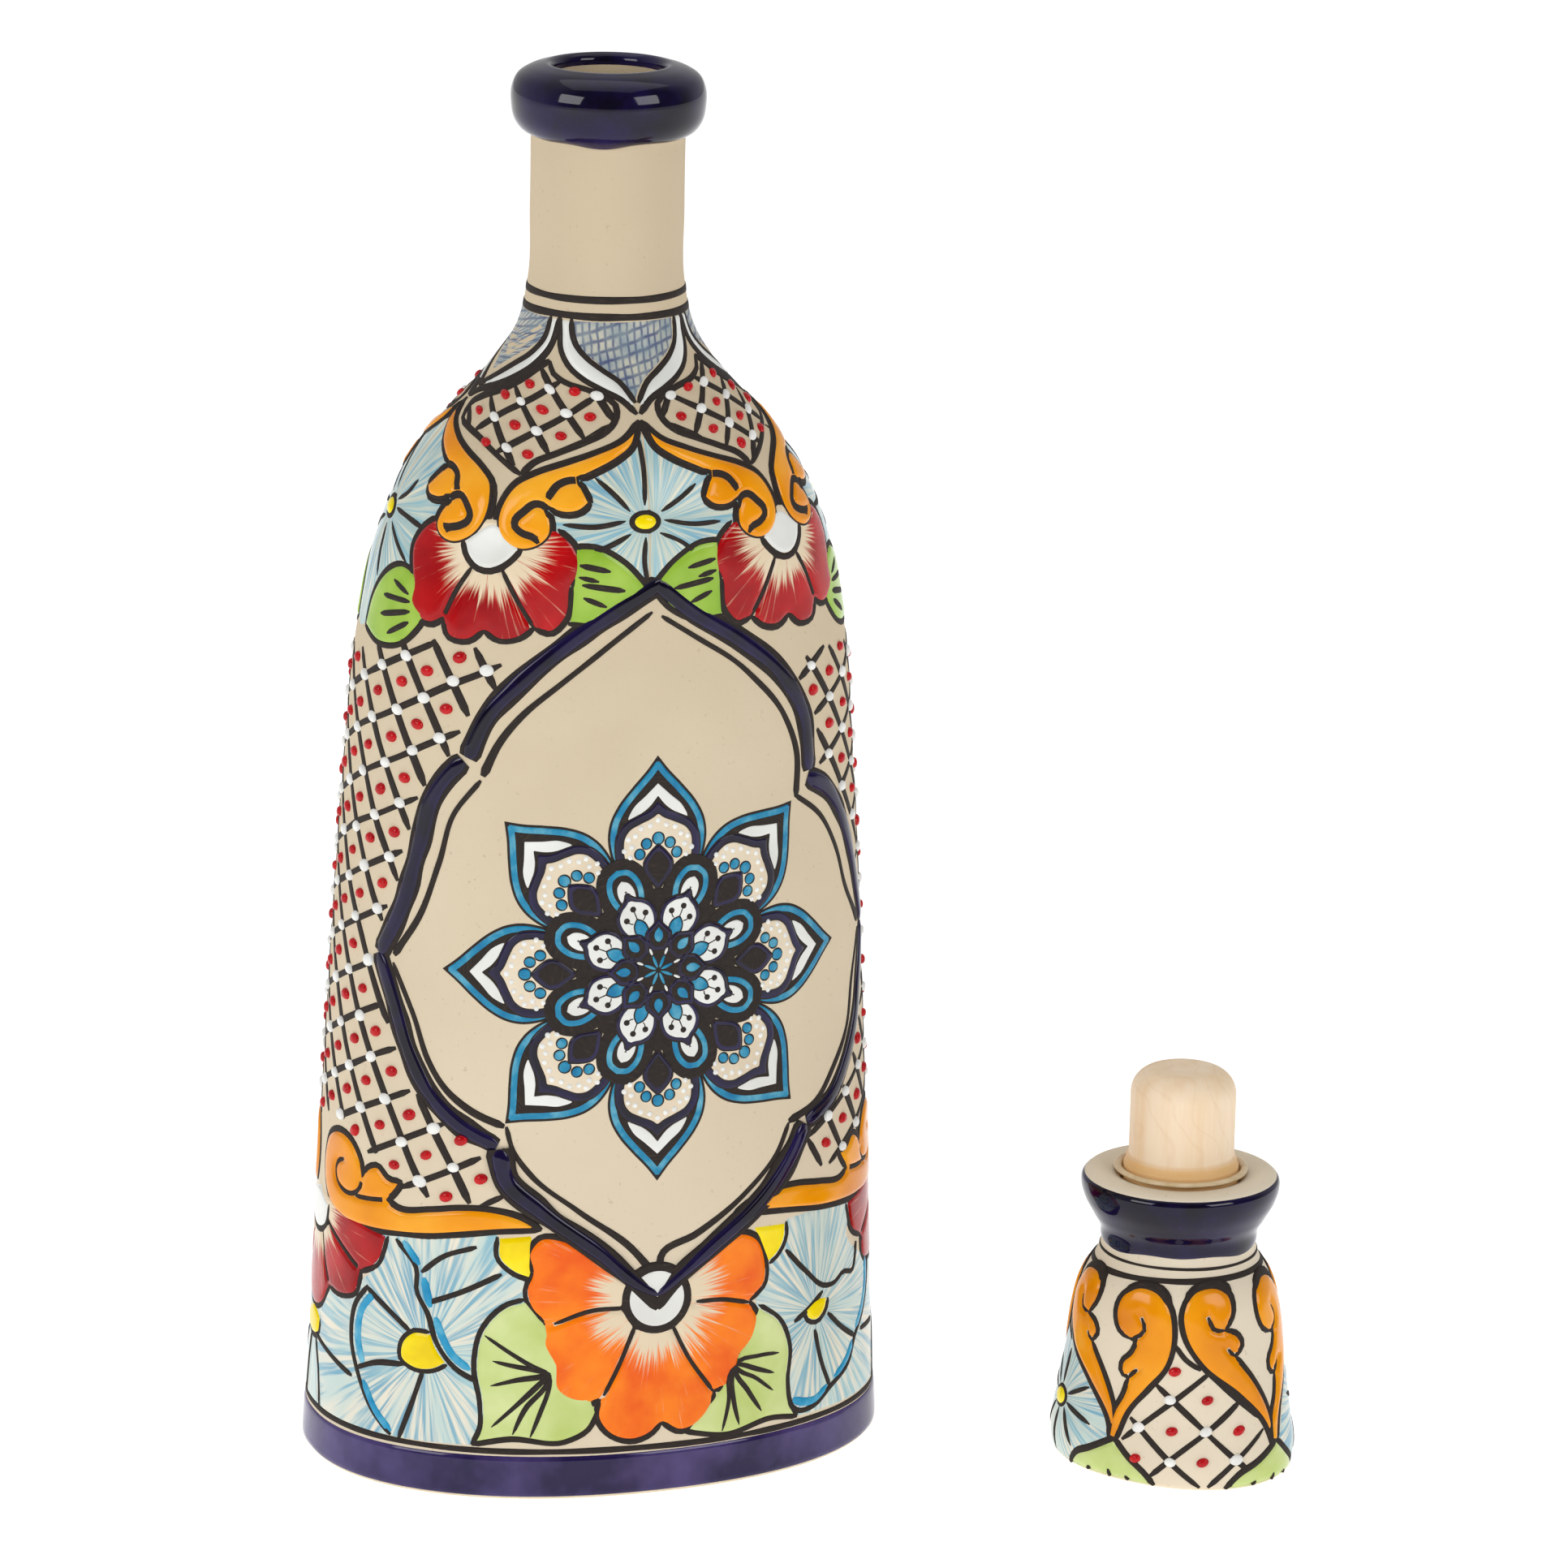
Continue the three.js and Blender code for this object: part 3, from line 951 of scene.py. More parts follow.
def glue_bead():
    """The squeezed-out bead of glue between the bung and the cap's mouth."""
    angle = full_turn(BUNG_AROUND)
    swell = 0.12 * np.sin(angle * 5 + 1) + 0.08 * np.sin(angle * 11 + 2)
    rows = []
    for t in np.linspace(0, 2 * math.pi, 12, endpoint=False):
        radius = BEAD_RADIUS + (0.85 + 0.5 * swell) * np.cos(t)
        z = BEAD_HEIGHT + 0.48 * math.sin(t) + 0 * angle
        rows.append(np.stack([radius * np.sin(angle), -radius * np.cos(angle), z], -1))
    points, faces = skin([*rows, rows[0]], False, False)
    piece = make_piece("glue_bead", beside(points) * MM, faces, GLUE, "stopper")
    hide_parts("adhesive_ring")


BAND_AROUND = 256
BAND_ROWS = 9
BAND_WAVINESS = 0.15
BAND_RIM = 0.9
BAND_EDGE_SUNK = -0.05


def wavy(angle, waviness, turns, phase):
    """A level that strays a little, as sums of whole waves round the wall."""
    return sum(DICE.normal(0, waviness / k) * np.sin(np.radians(angle) * k + phase()) for k in turns)


def band(colour, wall, low, high, height):
    """A glaze band right round a wall, its edges a little uneven."""
    u = np.arange(BAND_AROUND) / BAND_AROUND * 360
    share = (1 - np.cos(np.linspace(0, math.pi, BAND_ROWS))) / 2
    wave = [wavy(u, BAND_WAVINESS, (2, 3, 5, 8), lambda: DICE.uniform(0, 6)) for _ in (0, 1)]
    v = low + wave[0][None] * 0.5 + share[:, None] * (high - low + (wave[1] - wave[0] * 0.5)[None])
    edge = np.minimum(v - v[0], v[-1] - v)
    lift = dome(edge, height, BAND_RIM, 0.0)
    lift[0] = lift[-1] = BAND_EDGE_SUNK
    points = np.stack([np.broadcast_to(u, v.shape) * wall.girth(v) / 360, v], -1).reshape(-1, 2)
    brush = np.column_stack([points, edge.ravel()])
    wall.paints[colour].add(Face(wall), points, lift.ravel(), brush, grid_faces(BAND_ROWS, BAND_AROUND))


RING_SEAM = 150
RING_STEPS = 200


def ring_line(wall, v, width, waviness=0.12):
    """A black line right round a wall, laid by hand on a turning wheel: nearly level."""
    u = np.linspace(0, 361, RING_STEPS) + RING_SEAM
    level = v + wavy(u, waviness, (1, 2, 3, 5), lambda: 0)
    points = np.stack([u * wall.girth(level) / 360, level], -1)
    stroke("line", Face(wall), points, width, 0.14, step=1.6, wander=0.02)


GLAZE_LIFT = 0.28


def lathe_glaze(name, outline, wall, body):
    """A cobalt skin over a turned lip, thinning to nothing at its two ends."""
    path = run(outline, 0.55)
    z, radius = path.T
    along = heading(path)
    gone = travelled(path)
    edge = np.minimum(gone, gone[-1] - gone)
    lift = dome(edge, GLAZE_LIFT, 1.4, -0.2) + SUNK
    angle = full_turn(SHELL_AROUND)
    rings, brush = [], []
    for i in range(len(path)):
        out = radius[i] + along[i, 0] * lift[i]
        high = z[i] - along[i, 1] * lift[i]
        sag = 0.35 * math.exp(-gone[i]) * (np.sin(angle * 3) + np.sin(angle * 7 + 1) * 0.6)
        rings.append(np.stack([out * np.sin(angle), -out * np.cos(angle), high + sag], -1))
        level = np.full((SHELL_AROUND, 2), (high, edge[i]))
        brush.append(np.column_stack([angle * out, level]))
    points, faces = skin(rings, False, False)
    piece = make_piece(name, wall.to_row(points) * MM, faces, COBALT, body)
    keep_brush(piece, np.concatenate(brush))


# ---------------------------------------------------------------- the painted front and back

FRONT = Face(BODY, 0.0)
BACK = Face(BODY, 180.0)
STAMPS = (FRONT, BACK)

MEDALLION = (
    ((0.4, 191), (-9, 185.5), (-20, 178), (-29, 170.5), (-35, 164), (-39.2, 155)),
    ((-40.2, 154.4), (-44, 150.5), (-47, 146), (-50, 136), (-54.5, 122), (-60, 112)),
    ((-60.3, 112), (-56.5, 103.5), (-53, 94), (-49, 86.5), (-42, 79.5), (-33.5, 75)),
    ((-33, 74.6), (-31.5, 68), (-25, 62), (-12.5, 52.5), (-5, 45.6), (-0.2, 40)),
    ((-0.9, 191), (7, 184.5), (18, 177.5), (28, 169.5), (34.5, 160), (36.3, 148)),
    ((35.6, 146.6), (41.5, 143.5), (47, 138), (52, 130), (57, 119.5), (61, 111)),
    ((61, 110.4), (57.5, 101), (54.5, 92), (49, 83.5), (43, 77.5), (35.3, 74.3)),
    ((34.6, 74), (31.5, 69), (25, 61.5), (12, 52), (4, 46), (-0.6, 40)),
)
MEDALLION_INNER = (
    ((-1.5, 184.8), (-10, 178.6), (-20, 171), (-28, 164.2), (-33, 158), (-36.2, 151.5)),
    ((-36.6, 150.6), (-42.5, 142.5), (-45.5, 133), (-50, 121), (-56.2, 112.3)),
    ((-56.5, 110.6), (-51.5, 101), (-48, 91.5), (-44, 86), (-38.5, 82), (-32, 79.2)),
    ((-31.7, 79.2), (-30.5, 75), (-26, 68.6), (-17, 61.5), (-6, 53), (-0.6, 46.6)),
    ((0.4, 184), (9, 178.5), (20, 170.4), (28.5, 161), (32.5, 152), (32.2, 143)),
    ((31.7, 143.7), (40, 137.6), (46, 129.5), (50, 120.6), (57.5, 111.5)),
    ((57.6, 110), (53, 101), (50, 91), (44, 83.5), (38.4, 78), (30.2, 75.3)),
    ((30.2, 75), (27.5, 69.5), (19, 61.8), (8, 54.6), (0.6, 51), (0.2, 46.4)),
)


OVER_FLOWER = 50
BLACK_TIP = 2.6


def medallion(face):
    """The raised cobalt frame, lobe by lobe, between black edges, with a thin black line inside it."""
    for points in MEDALLION:
        over = 0.45 if points[-1][1] < OVER_FLOWER else 0.0
        swell = (1.12, 0.45) if over else (1.0, 0.95)
        blue = points if not over else points[:-1] + ((points[-1][0], points[-1][1] + BLACK_TIP),)
        stroke("line", face, points, 4.7, 0.16, wander=0.04, tips=0.3, base=over, swell=swell)
        stroke("cobalt", face, blue, 3.0, 0.55 + over, wander=0.04, tips=0.8, swell=swell)
    for points in MEDALLION_INNER:
        stroke("line", face, points, 1.35, wander=0.08, swell=(0.8, 1.35))


MANDALA_X = -0.5
MANDALA_Y = 111.2
PETALS = 8
LAYER = 0.02


class Turned:
    """A face turned about a point, so that a petal drawn upright lands at its own angle."""

    def __init__(self, face, degrees):
        self.face, self.wall, self.scale = face, face.wall, face.scale
        self.c, self.s = math.cos(math.radians(degrees)), math.sin(math.radians(degrees))

    def spread(self, points):
        p = np.asarray(points, float)
        x = MANDALA_X + p[..., 0] * self.c + p[..., 1] * self.s
        y = MANDALA_Y - p[..., 0] * self.s + p[..., 1] * self.c
        return self.face.spread(np.stack([x, y], -1))


def mirrored_outline(right, step=0.6):
    """A closed outline from its right side, drawn from the tip down to the foot."""
    side = run(right, step)
    return wound(np.concatenate([side, (side * (-1, 1))[::-1]]))


OUTER_PETAL = ((0.05, 44.3), (2.3, 41.4), (5.4, 38), (8.3, 34.4), (10.0, 31), (10.5, 28), (10.1, 24.6),
               (8, 19.6))
CHEVRON_OUT = ((0.05, 38.6), (2.6, 36.2), (5.2, 33.8), (6.3, 31.4))
CHEVRON_IN = ((6.3, 31.4), (3.8, 32.4), (1.7, 33.9), (0.05, 35.9))
ARCH = ((0.05, 34.8), (1.7, 33.2), (4.3, 32), (6.9, 30.6), (8.5, 28.4), (8.9, 25.6), (8.4, 22), (7, 18))
HEART = ((0.05, 26), (1.7, 24.4), (3, 22.4), (2.9, 20.8), (1.6, 18.8), (0.4, 17.2))
LOBE = ((0.05, 25.0), (3.2, 24.1), (5.2, 21.4), (5.7, 18), (4.9, 13), (3, 8))
DROP = ((0.05, 22.9), (2.3, 22), (3.6, 19.4), (3.5, 16.4), (2.4, 13.8), (0.8, 12))
DROP_HEART = ((0.05, 20.4), (1.2, 19.6), (1.8, 17.8), (1.4, 15.6), (0.4, 14.2))
WHITE_PETAL = ((0.05, 17.8), (0.9, 16.3), (2.6, 15.2), (4.0, 13.4), (4.2, 11.4), (3.4, 8.8), (2.0, 6.6))
WHITE_DROP = ((0.05, 11.6), (0.9, 10.8), (1.3, 9.4), (0.9, 8), (0.3, 7.3))
INNER_PETAL = ((0.05, 10.6), (1.1, 9.4), (2.6, 7.8), (2.5, 6), (1.2, 4.2))
INNER_DROP = ((0.05, 9), (0.9, 7.7), (0.9, 6.7), (0.3, 5.9))
CROWN = ((0, 27.3, 1.15), (-2.5, 26.3, 1.0), (2.5, 26.3, 1.0), (-3.9, 24.2, 1.0), (3.9, 24.2, 1.0))
FIELD_DOTS = ((0, 31), (-1.7, 30), (1.7, 30), (-3.6, 29.5), (3.6, 29.5), (-4.8, 28), (4.8, 28),
              (-6.3, 27.4), (6.3, 27.4), (-5.6, 25.8), (5.6, 25.8), (-7.1, 25), (7.1, 25), (-5.9, 23.6),
              (5.9, 23.6))
PINS = ((0, 14), (-2.1, 12.3), (2.1, 12.3))
ROSETTE_RADIUS = 17
HEART_RADIUS = 7.0
HEART_SPOTS = (("white", 4.2, 0.32, 0.8, 14), ("cobalt", 6.2, 0.6, 0.9, 14), ("teal", 1.9, 0.36, 1.4, 16))


def coats(face, outline, level, *layers, grain=1.6):
    """Thin flat coats, one over another. Each layer is a colour and its depth in from the outline."""
    for k, (colour, depth) in enumerate(layers):
        glaze(colour, face, inset(outline, depth), LAYER, rim=0.1, start=0.03, grain=grain,
              base=LAYER * (level + k), rows=COAT_ROWS)


def outer_petals(upright):
    """The long pointed petals: teal edge, white chevron and a cobalt arch over a dotted cream field."""
    outer, arch = mirrored_outline(OUTER_PETAL), mirrored_outline(ARCH)
    chevron = mirrored_outline(CHEVRON_OUT + CHEVRON_IN[1:])
    for petal in upright:
        coats(petal, outer, 1, ("line", 0), ("teal", 0.5), ("line", 1.75))
        coats(petal, chevron, 4, ("white", 0))
        coats(petal, arch, 5, ("line", -0.3), ("cobalt", 0), ("line", 1.4), ("cream", 1.65))
        for at in FIELD_DOTS:
            bead("white_beads", petal, at, 1.2, 1.15, 0.42)
        for x, y, size in CROWN:
            coats(petal, disc((x, y), size + 0.3, count=22), 9, ("line", 0))
        for x, y, size in CROWN:
            coats(petal, disc((x, y), size - 0.05, size + 0.1, count=18), 10, ("teal", 0))


def rosette(middle, upright, between):
    """The dark rosette: hearts on the petals' axes, and teal drops over white petals between them."""
    lobe, heart, drop, drop_heart, white, white_drop = (
        mirrored_outline(side) for side in (LOBE, HEART, DROP, DROP_HEART, WHITE_PETAL, WHITE_DROP))
    for petal in between:
        coats(petal, lobe, 11, ("line", 0))
    coats(middle, disc((0, 0), ROSETTE_RADIUS), 11, ("line", 0), grain=2.4)
    for at_axis, petal in zip(upright, between):
        coats(at_axis, heart, 12, ("line", -0.3), ("cobalt", 0), ("line", 0.75))
        coats(petal, drop, 12, ("teal", 0), ("line", 1.15))
        coats(petal, drop_heart, 14, ("white", 0))
        coats(petal, white, 15, ("line", -0.35), ("cobalt", 0), ("white", 0.7))
        coats(petal, white_drop, 18, ("line", -0.3), ("teal", 0))
        for x, y in PINS:
            stem = [(x * 0.3, 11), (x * 0.7, y - 1), (x, y)]
            stroke("line", petal, stem, 0.42, LAYER * 19.5, step=0.6, wander=0)
            coats(petal, disc((x, y), 0.68, count=16), 18, ("line", 0), grain=1.0)


def rosette_heart(middle, upright, between):
    """The smallest petals, on a black disc in the middle of the rosette."""
    inner, inner_drop = mirrored_outline(INNER_PETAL, 0.4), mirrored_outline(INNER_DROP, 0.4)
    coats(middle, disc((0, 0), HEART_RADIUS), 20, ("line", 0))
    for at_axis, petal in zip(upright, between):
        coats(at_axis, inner, 20, ("line", -0.3), ("cobalt", 0), ("line", 0.6))
        coats(at_axis, inner_drop, 23, ("teal", 0))
        for colour, y, radius_x, radius_y, count in HEART_SPOTS:
            coats(petal, disc((0, y), radius_x, radius_y, count), 22, (colour, 0), grain=0.8)


def mandala(face):
    """Eight pointed petals round a dark rosette, laid in thin flat coats of black, teal, white, cobalt and
    cream."""
    upright = [Turned(face, k * 360 / PETALS) for k in range(PETALS)]
    between = [Turned(face, (k + 0.5) * 360 / PETALS) for k in range(PETALS)]
    middle = Turned(face, 0)
    outer_petals(upright)
    rosette(middle, upright, between)
    rosette_heart(middle, upright, between)


# ---------------------------------------------------------------- the band of flowers above the foot

FLOWER_AT = (-0.5, 42)
ORANGE_RUNS = closed(
    ((-13, 51.5), (-19, 55.4), (-24.8, 56), (-27.3, 52.5), (-26.3, 48.6)),
    ((-27.8, 45), (-26.6, 40.6), (-24, 38)), ((-25, 33.5), (-22.8, 28.6)),
    ((-22.4, 23.4), (-19, 20.6), (-14.5, 20.2), (-12.6, 21.4)),
    ((-13.2, 17.6), (-10.6, 13.6), (-5.4, 11.9), (-1.2, 13.4), (0.6, 15.3)),
    ((4.6, 12.9), (9.4, 14.4), (12, 18), (12.3, 20.8)), ((15.6, 21.3), (18, 24.6), (18.3, 27.4)),
    ((22, 30.2), (22.8, 35), (20.6, 38.6)),
    ((24.4, 41.8), (24.6, 47), (22.4, 52), (18.6, 53.8), (12.5, 52), (6.5, 46.6)),
    ((0, 47.5), (-7.5, 46.6)),
)
ORANGE_DIVIDERS = (
    ((-7.2, 40.4), (-14, 40.2), (-21.8, 37.6)), ((-5, 36.4), (-8.6, 28), (-11.6, 22)),
    ((2.8, 36), (6.6, 28.5), (12, 20.6)), ((8.2, 40.2), (14, 40), (20.4, 38.4)),
)
LEAF_LEFT = closed(
    ((-31.6, 41.6), (-36.6, 36.2), (-38.2, 28.4), (-37, 20), (-37.2, 15), (-38.8, 11.6)),
    ((-31, 13.2), (-19.4, 12.6), (-14.8, 15), (-12.8, 18.6)), ((-16, 27), (-22, 36), (-27.4, 43)),
)
LEAF_RIGHT = closed(
    ((28.4, 33.2), (31, 27), (30.4, 19.6), (31, 15), (33, 11.6)), ((26, 12.6), (15, 10.9), (5.4, 12.8)),
    ((14, 22), (22.6, 37.6)),
)
VEINS_LEFT = (
    ((-26, 28.6), (-36, 35)), ((-25.4, 27.8), (-34.4, 29.6)), ((-24.6, 26.6), (-34.8, 24.4)),
    ((-24, 25.6), (-34.7, 15.6)), ((-23.4, 25), (-30.4, 14.2)), ((-22.8, 24.6), (-26.8, 13.6)),
)
VEINS_RIGHT = (
    ((17.5, 26), (27.8, 26.3)), ((17.5, 25.4), (26.6, 22.4)), ((17.4, 25), (26.4, 18.6)),
    ((17, 24.6), (23.4, 14.6)), ((16.6, 24.2), (18, 12.6)), ((16, 24), (14.2, 11.8)),
)
VEIN_ROOT_LEFT = (-22.6, 27)
VEIN_ROOT_RIGHT = (17.2, 25.4)


YELLOW_BEHIND = (
    (((-33.4, 56), (-33.4, 51.5), (-30.5, 48.5), (-26.3, 46.8)), ((-26.3, 46.8), (-26, 56.8)),
     ((-26, 56.8), (-33.4, 56))),
    (((29.8, 54), (29.6, 50.5), (27.6, 47.4), (24.8, 45.6)), ((24.8, 45.6), (21, 54.6)),
     ((21, 54.6), (29.8, 54))),
)
LEAVES = ((LEAF_LEFT, VEINS_LEFT, VEIN_ROOT_LEFT), (LEAF_RIGHT, VEINS_RIGHT, VEIN_ROOT_RIGHT))


def orange_flower(face):
    """The orange flower under the medallion's tip, its two leaves and the yellow discs behind it."""
    for runs in YELLOW_BEHIND:
        outlined("yellow", face, runs, 0.4, lines=(0,))
    for runs, veins, root in LEAVES:
        outlined("leaves", face, runs, 0.36, lines=(0, 1))
        for points in veins:
            middle = np.mean(points, axis=0) + DICE.normal(0, 0.35, 2)
            vein = [root, points[0], middle, points[1]]
            stroke("line", face, vein, 0.9, 0.12, wander=0.1, tips=2, base=0.34, swell=(1.25, 0.6))
    outlined("orange_petals", face, ORANGE_RUNS, 0.38, FLOWER_AT, creases=ORANGE_DIVIDERS,
             lines=range(len(ORANGE_RUNS) - 1))
    glaze("line", face, disc(FLOWER_AT, 7.8), 0.12, rim=0.5, base=0.34, start=0.1)
    glaze("white", face, disc(FLOWER_AT, 6.2), 0.14, rim=1.2, base=0.4, start=0.1)


FAN_LEFT_AT = (-48.5, 30.5)
FAN_RIGHT_AT = (38.5, 33)
SKY_LEFT = closed(
    ((-50, 55.6), (-33.5, 57)), ((-28, 50), (-25, 42)), ((-30, 38), (-35.5, 28), (-35, 18), (-38.8, 11)),
    ((-60, 10.6), (-80, 10.6)), ((-84, 24), (-80, 36)), ((-70, 40), (-62, 46), (-64, 54.6)),
)
SKY_RIGHT = closed(
    ((50, 55.6), (30, 55)), ((26, 50), (22, 44)), ((22, 36), (27.5, 30), (28.5, 22), (33, 11)),
    ((50, 10.6), (74, 10.6)), ((78, 24), (73, 36)), ((64, 38), (50, 47), (66, 56)),
)
FAN_LEFT_LINES = (
    ((-62.5, 41.6), (-66.6, 36.6), (-67.6, 29.5), (-65.6, 23), (-62, 16.5), (-56.6, 11.4)),
    ((-55.4, 53), (-50.6, 47.4), (-50.6, 43), (-48, 38.2), (-46.4, 33), (-42, 27.4), (-37.4, 25)),
    ((-51.8, 34), (-57, 37.6), (-63.2, 41.4)), ((-53.4, 27), (-60, 26), (-66, 23.4)),
    ((-49, 26.4), (-51.6, 19), (-54.6, 11)), ((-49.4, 47), (-44.6, 51), (-37.6, 53.6)),
    ((-48, 40.6), (-41, 43.6), (-32.4, 48)), ((-84.4, 25.6), (-76, 23.6), (-67.2, 21.4)),
)
FAN_LEFT_BLUE = (
    ((-60.6, 40.6), (-64.6, 36), (-65.6, 30), (-64, 24.6)), ((-63.8, 21.4), (-60.6, 16), (-56.6, 12)),
    ((-53.6, 53), (-50, 48.4)), ((-48.9, 46), (-47.6, 39.8)),
    ((-46.2, 38), (-44.6, 33.6), (-42.4, 30), (-39, 27.6)),
)
FAN_RIGHT_LINES = (
    ((30.4, 15), (33.4, 12.6), (37.4, 12.6), (43, 15.4), (50, 18.8), (53, 23.6), (57, 27), (61.2, 33),
     (62, 39), (57, 44)),
    ((29.6, 48), (35, 42.4), (41.4, 37.6), (44.4, 37.4), (48, 38.8), (52, 38), (54.4, 43.6)),
    ((38, 29), (40, 22), (43, 15.4)), ((42.2, 31.6), (47.6, 27), (53, 23.6)),
    ((32, 32), (36, 33.8), (40.6, 36.6)), ((56, 24.2), (66, 23.4)),
)
FAN_RIGHT_BLUE = (
    ((31.6, 15), (34.6, 14), (38, 13.8), (42, 16)), ((44.6, 17), (49, 19.6), (52, 23)),
    ((53.6, 25), (57.4, 29), (60, 34), (60.2, 38.6)),
)
FAN_LEFT_HEART = closed(
    ((-51.4, 34.4), (-54.2, 31.6), (-54.4, 28), (-51.4, 26.2), (-47, 26.4), (-43.4, 28.4)),
    ((-45.8, 31.4), (-47, 34.6)),
)
FAN_RIGHT_HEART = closed(((36, 31.4), (39, 30.6), (41.6, 32.6), (42.4, 35.4)), ((38.4, 35.8), (34.6, 34)))
FANS = ((SKY_LEFT, FAN_LEFT_AT, FAN_LEFT_LINES, FAN_LEFT_BLUE),
        (SKY_RIGHT, FAN_RIGHT_AT, FAN_RIGHT_LINES, FAN_RIGHT_BLUE))
BLUE_WIDTH = 1.7


def fans(face):
    """The sky-blue fan flowers on both sides of the orange flower."""
    for runs, centre, lines, blues in FANS:
        glaze("sky", face, joined(runs, FIELD_STEP), 0.14, centre, grain=2.2)
        for points in blues:
            stroke("bright_blue", face, points, BLUE_WIDTH, 0.34, wander=0.1)
        for points in lines:
            stroke("line", face, points, 1.15, 0.2, base=0.1)
    for heart in (FAN_LEFT_HEART, FAN_RIGHT_HEART):
        outlined("yellow", face, heart, 0.5, lines=(0,))


SIDES = (Face(BODY, -94.5), Face(BODY, 85.5))
SIDE_RED_AT = (0, 54)
SIDE_RED_RUNS = closed(
    ((-25, 46.6), (-20.4, 44.2)), ((-19.6, 39.4), (-14, 37.2), (-9, 37.6)),
    ((-5.6, 32.8), (0, 30.8), (5.6, 32.8), (9, 37.6)), ((14, 37.2), (19.6, 39.4), (20.4, 44.2)),
    ((25, 46.6), (27.5, 53.6)), ((0, 57), (-27.5, 53.6)),
)
SIDE_SCROLL = closed(
    ((56, 60), (49, 61.6), (43, 61.5), (37, 60.5), (29, 59.7), (26.6, 60.8)), ((28.4, 62.8), (30, 65.2)),
    ((26.6, 65.4), (23.5, 67.5), (20.8, 66.4), (19.3, 64.2)),
    ((19, 66.6), (17.5, 69), (15, 71), (12, 71.8), (8, 71.2), (5, 69.5), (3.3, 66), (3, 62), (4.5, 58),
     (8, 55), (13, 53.8), (22, 53.7), (29, 54.2), (37, 55), (45, 56.3), (52, 57.2), (60, 57.6)),
)
SIDE_SCROLL_CREASES = (
    ((19.3, 64.2), (18.8, 61.8), (16.8, 60), (12.6, 59.8), (10.2, 61.2), (9.5, 63.4), (10.4, 65.2),
     (12.4, 66)),
    ((17.4, 59.6), (21.6, 60), (26.6, 60.8)),
)
SIDE_SKY = closed(((10, 10.6),), ((11, 36),), ((-11, 36),), ((-10, 10.6),))
SIDE_RED_DIVIDERS = (((3.4, 48.4), (6, 42), (9, 37.6)), ((6.4, 51), (13, 48), (20.4, 44.2)))
SIDE_HALF_DISC = closed(((-6, 50), (0, 47.6), (6, 50), (7.4, 55)), ((0, 57), (-7.4, 55)))
SIDE_HEART = closed(((-4.4, 26), (0, 24.4), (4.4, 26), (5, 29.6)), ((0, 31.4), (-5, 29.6)))
SIDE_RAYS = (-14, -3.4, 7.4)


def flipped(runs):
    return tuple(tuple((-x, y) for x, y in points) for points in runs)


def side_band(face):
    """On each narrow side: a red flower between two mirrored scrolls, over a fan flower."""
    glaze("sky", face, joined(SIDE_SKY, FIELD_STEP), 0.1, (0, 27), grain=2.2)
    dividers = flipped(SIDE_RED_DIVIDERS) + SIDE_RED_DIVIDERS
    outlined("red_petals", face, SIDE_RED_RUNS, 0.42, SIDE_RED_AT, lines=(0, 1, 2, 3, 4), creases=dividers)
    glaze("white", face, joined(SIDE_HALF_DISC, FINE_STEP), 0.2, base=0.4)
    stroke("line", face, SIDE_HALF_DISC[0], base=0.3)
    outlined("yellow", face, SIDE_HEART, 0.5, lines=(0,))
    for x in SIDE_RAYS:
        stroke("line", face, ((x * 0.35, 24.6), (x * 0.8, 18), (x, 11)), 0.9, 0.18, base=0.12)
    for turn in (tuple, flipped):
        outlined("scroll", face, turn(SIDE_SCROLL), 0.62, width=1.5, creases=turn(SIDE_SCROLL_CREASES))


# ---------------------------------------------------------------- trellis

# The bead on each crossing and in each cell: its colour, length, width and share of the lines' slope.
TRELLIS_BEADS = (("white_beads", 3.0, 2.4, 0.2), ("red_beads", 2.9, 2.2, 0.5))
BEAD_HIGH = 0.85


def crossings(point, direction, outline):
    """The stretches of a line that run inside an outline."""
    start, end = outline, np.roll(outline, -1, axis=0)
    along = end - start
    gap = start - point
    cross = direction[0] * along[:, 1] - direction[1] * along[:, 0]
    cross = np.where(np.abs(cross) < 1e-9, 1e-9, cross)
    at = (gap[:, 0] * along[:, 1] - gap[:, 1] * along[:, 0]) / cross
    share = (gap[:, 0] * direction[1] - gap[:, 1] * direction[0]) / cross
    hits = np.sort(at[(share >= 0) & (share < 1)])
    return list(zip(hits[::2], hits[1::2]))


